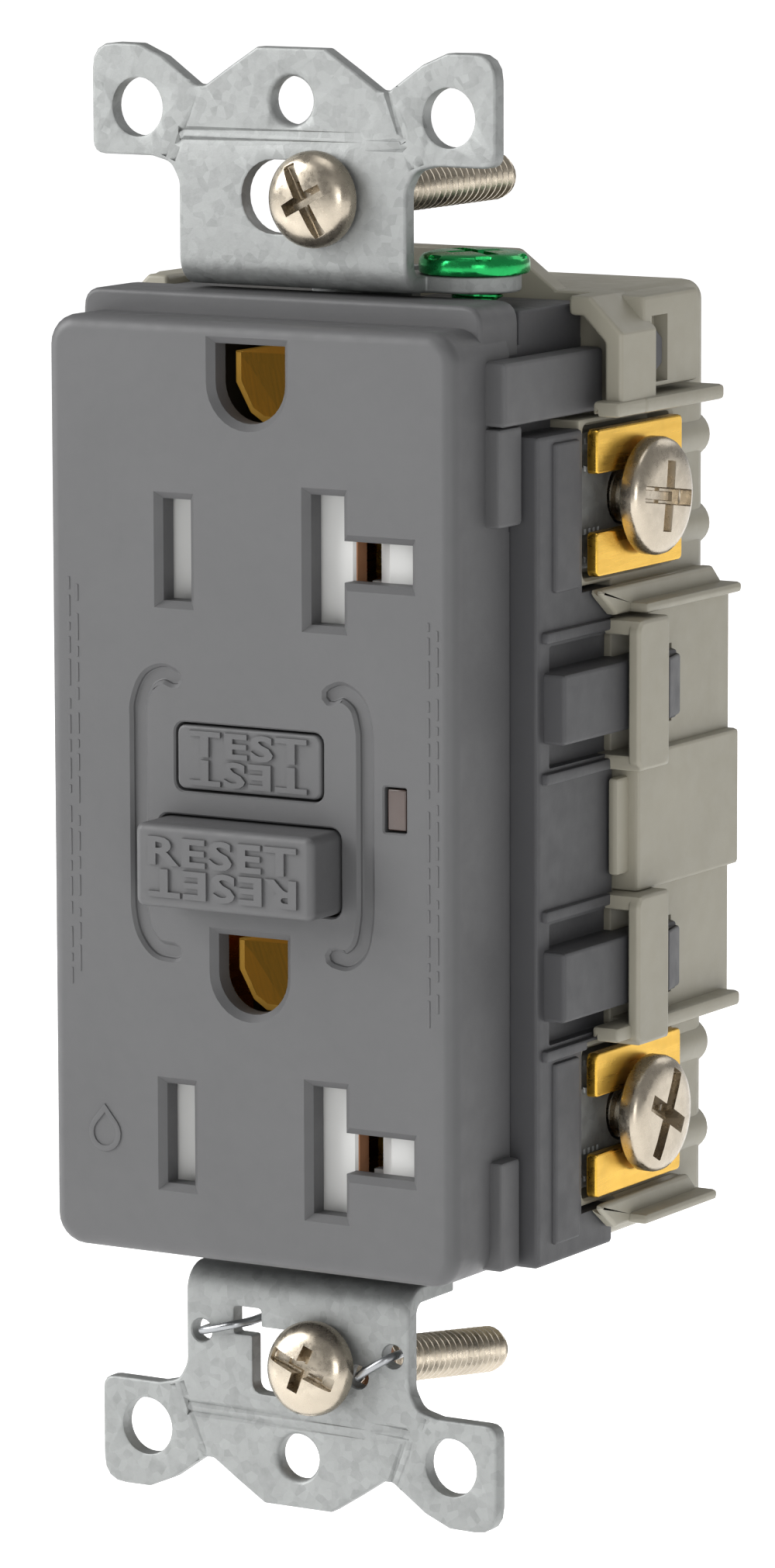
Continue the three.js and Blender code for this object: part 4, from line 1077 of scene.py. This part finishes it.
def back_body():
    """The hollow rear casing with its terminal tubs, clips, ribs and wire holes."""
    shape = stack(
        "y", rounded(-BODY_X, BODY_X, BODY_BOTTOM, BODY_TOP, 1.4, 6),
        [(0.2, BODY_FRONT), (0.03, 13.0), (0, 13.15), (0, 25.6), (0.1, 26.2), (1.1, 27.9), (1.3, BODY_BACK)],
    )
    hump = [(-13.9, 33.4, 0.3), (13.9, 33.4, 0.3), (13.9, BODY_TOP, 0.4), (10.2, 37.5, 0.8)]
    hump += [(-10.2, 37.5, 0.8), (-13.9, BODY_TOP, 0.4)]
    shape = added(shape, stack("y", softened(hump, 0.4, 4), rims(BODY_FRONT, 14.7, 0.2, 0.25)))
    arch = [
        (16.6, BODY_TOP), (18.3, BODY_TOP), (20.9, 32.3), (20.9, 26.9),
        (19.5, 26.9), (19.5, 31.6), (17.7, 33.4), (16.6, 33.4),
    ]
    features = [
        box((ROOT_X, 20.6), (ROOT_Y, 27.9), (-7.6, 2.3), 0.3),
        box((18.95, 19.8), (11.4, 19.3), (-6.3, 0.7), 0.3),
        box((ROOT_X, 20.4), (13.9, 22.1), (28, 34.6), 0.35),
        box((ROOT_X, 19.8), (15.8, 27.9), (-17.3, 12.4), 0.3),
        stack("y", softened(arch, 0.4, 3), rims(9.9, 14.9, 0.3, 0.1)),
        *shelf(12.3, 27.2), *shelf(-31.6, 23.8), *ledge(27, 24.5), *ledge(-17.3, 27.2),
        *[terminal_tub(z) for z in TERMINALS.values()],
    ]
    for z in TERMINALS.values():
        for s in (1, -1):
            boss = stack("y", disc(0, 0, 1.7, 28), rims(21.2, 27.0, 0.1, 0.5, 3))
            features.append(moved(boss, WIRE_HOLE_X, 0, z + s * WIRE_HOLE_Z))
    for z in TONGUES:
        features += hoop(z)
    right = added(*features)
    right = cut(right, *[box((BODY_X, 20.8), (0, 19.2), (z - 2.8, z + 2.8), 0) for z in TONGUES])
    right = cut(right, box((19.3, 22), (15.1, 17.4), (28.4, 33.1), 0))
    shape = added(shape, flipped(right), right)
    tools = [box((-15.4, 15.4), (0, 26.4), (-31.5, 32.4), 0)]
    for s in (1, -1):
        for z in TERMINALS.values():
            opening = rounded(PLATE_FRONT, 21.7, z - POCKET_HALF, z + POCKET_HALF, 0.5, 3)
            tools.append(cutter("x", opening, s * BODY_X, s * 16.4, 0.2, 0.2))
            tools.append(stack("x", opening, [(0, s * 18.0), (0, s * 30)]))
            tools.append(moved(spun(pin(2.4, -9, 9), "Z", 90), s * 17, SCREW_Y, z))
            for k in (1, -1):
                wire_hole = cutter("y", disc(0, 0, 1.2, 24), BODY_BACK, 20, 0.2, 0.2)
                tools.append(moved(wire_hole, s * WIRE_HOLE_X, 0, z + k * WIRE_HOLE_Z))
    return cut(shape, *tools)


piece("back_body_shell", back_body(), "body", "back_body")


# ---------- terminals ----------
def terminal_plate(z):
    """A pressure plate with a mouth that lets the wire and the screw shank in from the front."""
    notch, bore = 2.05, 2.4
    mouth = 180 - math.degrees(math.asin(notch / bore))
    loop = [
        (PLATE_FRONT, z + PLATE_HALF, 0.5), (PLATE_FRONT, z + notch, 0.3),
        *[(*p, 0) for p in arc(SCREW_Y, z, bore, mouth, -mouth, 16)],
        (PLATE_FRONT, z - notch, 0.3), (PLATE_FRONT, z - PLATE_HALF, 0.5),
        (21.3, z - PLATE_HALF, 0.5), (21.3, z + PLATE_HALF, 0.5),
    ]
    return stack("x", softened(loop, 0.3, 3), rims(18.7, 19.5, 0.08, 0.18, 2))


def clamp_plate(z):
    """The plate behind the terminal that draws up onto a wire, with grooves and fine teeth for it."""
    bore = (disc(SCREW_Y, z, 2.2, 28), [(0, CLAMP_INNER), (0, CLAMP_OUTER)])
    outline = rounded(9.4, 20.9, z - 4.8, z + 4.8, 0.5, 3)
    plate = stack("x", outline, rims(CLAMP_INNER, CLAMP_OUTER, 0.12, 0.15, 2), [bore])
    tools = [moved(pin(0.9, 8, 22, 20), 18.15, 0, z + k * WIRE_HOLE_Z) for k in (1, -1)]
    for k in range(7):
        for side in (1, -1):
            tooth = spun(box((-0.13, 0.13), (-0.13, 0.13), (-1.2, 1.2), 0), "Z", 45)
            along = 10.2 + k * 0.62 + (6.2 if k > 3 else 0)
            tools.append(moved(tooth, 17.83, along, z + side * WIRE_HOLE_Z))
    return cut(plate, *tools)


def same(thing):
    return thing


TERMINAL_HEAD = [
    (0, -1.8), (2.4, -1.77), (3.3, -1.7), (3.8, -1.52), (4.08, -1.25),
    (4.2, -0.9), (4.2, -0.12), (4.1, 0), (0, 0),
]
for level, z in TERMINALS.items():
    right_turn = 8 if level == "upper" else -62
    for side, mirror, finish, turn in (("right", same, "nickel", right_turn), ("left", flipped, "brass", 70)):
        tag = "_" + level + "_" + side
        piece("pressure_plate" + tag, mirror(terminal_plate(z)), "brass", "terminal_plate" + tag)
        piece("wire_clamp" + tag, mirror(clamp_plate(z)), "zinc", "clamp_plate" + tag, "clamp_plate" + tag)
        head = cut(turned(TERMINAL_HEAD, 56), recess(2.5, 1.15, 1.1, -1.79, 3.35))
        shape = added(spun(head, "Y", turn), thread(2.0, 1.62, SCREW_PITCH, SCREW_START, 6.0, tip=0.7))
        shape = mirror(moved(spun(shape, "Z", 90), 19.9, SCREW_Y, z))
        piece("wire_screw" + tag, shape, finish, "terminal_screw" + tag, "terminal_screw" + tag)


# ---------- floor, light and camera ----------
def make_floor():
    bm = bmesh.new()
    bmesh.ops.create_grid(bm, x_segments=1, y_segments=1, size=FLOOR_HALF)
    mesh = bpy.data.meshes.new("floor")
    bm.to_mesh(mesh)
    bm.free()
    floor = bpy.data.objects.new("floor", mesh)
    floor.location = (0, 0, FLOOR_Z)
    n = Nodes("pale_floor")
    n.into("Base Color", n.ramp(n.noise(3), (0.3, (0.9, 0.9, 0.9)), (0.7, (0.92, 0.92, 0.92))))
    n.set(Roughness=0.9, Emission_Color=(1, 1, 1, 1), Emission_Strength=0.8)
    mesh.materials.append(n.material)
    bpy.context.scene.collection.objects.link(floor)


def add_light(name, azimuth, elevation, distance, size, power):
    """A square light aimed at the origin; distance and size are metres."""
    light = bpy.data.lights.new(name, "AREA")
    light.shape = "RECTANGLE"
    light.size, light.size_y = size, size
    light.energy = power
    lamp = bpy.data.objects.new(name, light)
    a, e = math.radians(azimuth), math.radians(elevation)
    way = Vector((math.sin(a) * math.cos(e), -math.cos(a) * math.cos(e), math.sin(e)))
    lamp.location = way * distance
    lamp.rotation_mode = "QUATERNION"
    lamp.rotation_quaternion = way.to_track_quat("Z", "Y")
    bpy.context.scene.collection.objects.link(lamp)


make_floor()
add_light("key", -56, 26, 0.9, 0.6, 9.0)
add_light("fill", 40, 9, 1.0, 0.35, 1.8)
add_light("top", 10, 82, 0.9, 0.5, 1.2)
add_light("back", 165, 30, 1.1, 0.6, 1.2)

world = bpy.data.worlds.new("studio")
bpy.context.scene.world = world
world.use_nodes = True
sky = world.node_tree.nodes["Background"]
sky.inputs["Color"].default_value = (1, 1, 1, 1)
sky.inputs["Strength"].default_value = 0.34
bpy.context.scene.view_settings.view_transform = "Standard"

camera_data = bpy.data.cameras.new("camera")
camera_data.lens = 178.911
camera_data.sensor_width = 36
camera_data.sensor_fit = "AUTO"
camera_data.clip_start, camera_data.clip_end = 0.05, 20
camera = bpy.data.objects.new("camera", camera_data)
azimuth, elevation, roll = math.radians(30.967), math.radians(8.727), math.radians(-0.166)
sin_a, cos_a, sin_e, cos_e = math.sin(azimuth), math.cos(azimuth), math.sin(elevation), math.cos(elevation)
back = Vector((sin_a * cos_e, -cos_a * cos_e, sin_e))
right = Vector((cos_a, sin_a, 0))
up = Vector((-sin_a * sin_e, cos_a * sin_e, cos_e))
target = Vector((5.642, 3.436, 0.284)) * MM
across = right * math.cos(roll) + up * math.sin(roll)
upward = up * math.cos(roll) - right * math.sin(roll)
rotation = Matrix((across, upward, back)).transposed().to_4x4()
distance = 549.59 * MM
camera.matrix_world = Matrix.Translation(target + back * distance) @ rotation
bpy.context.scene.collection.objects.link(camera)
bpy.context.scene.camera = camera
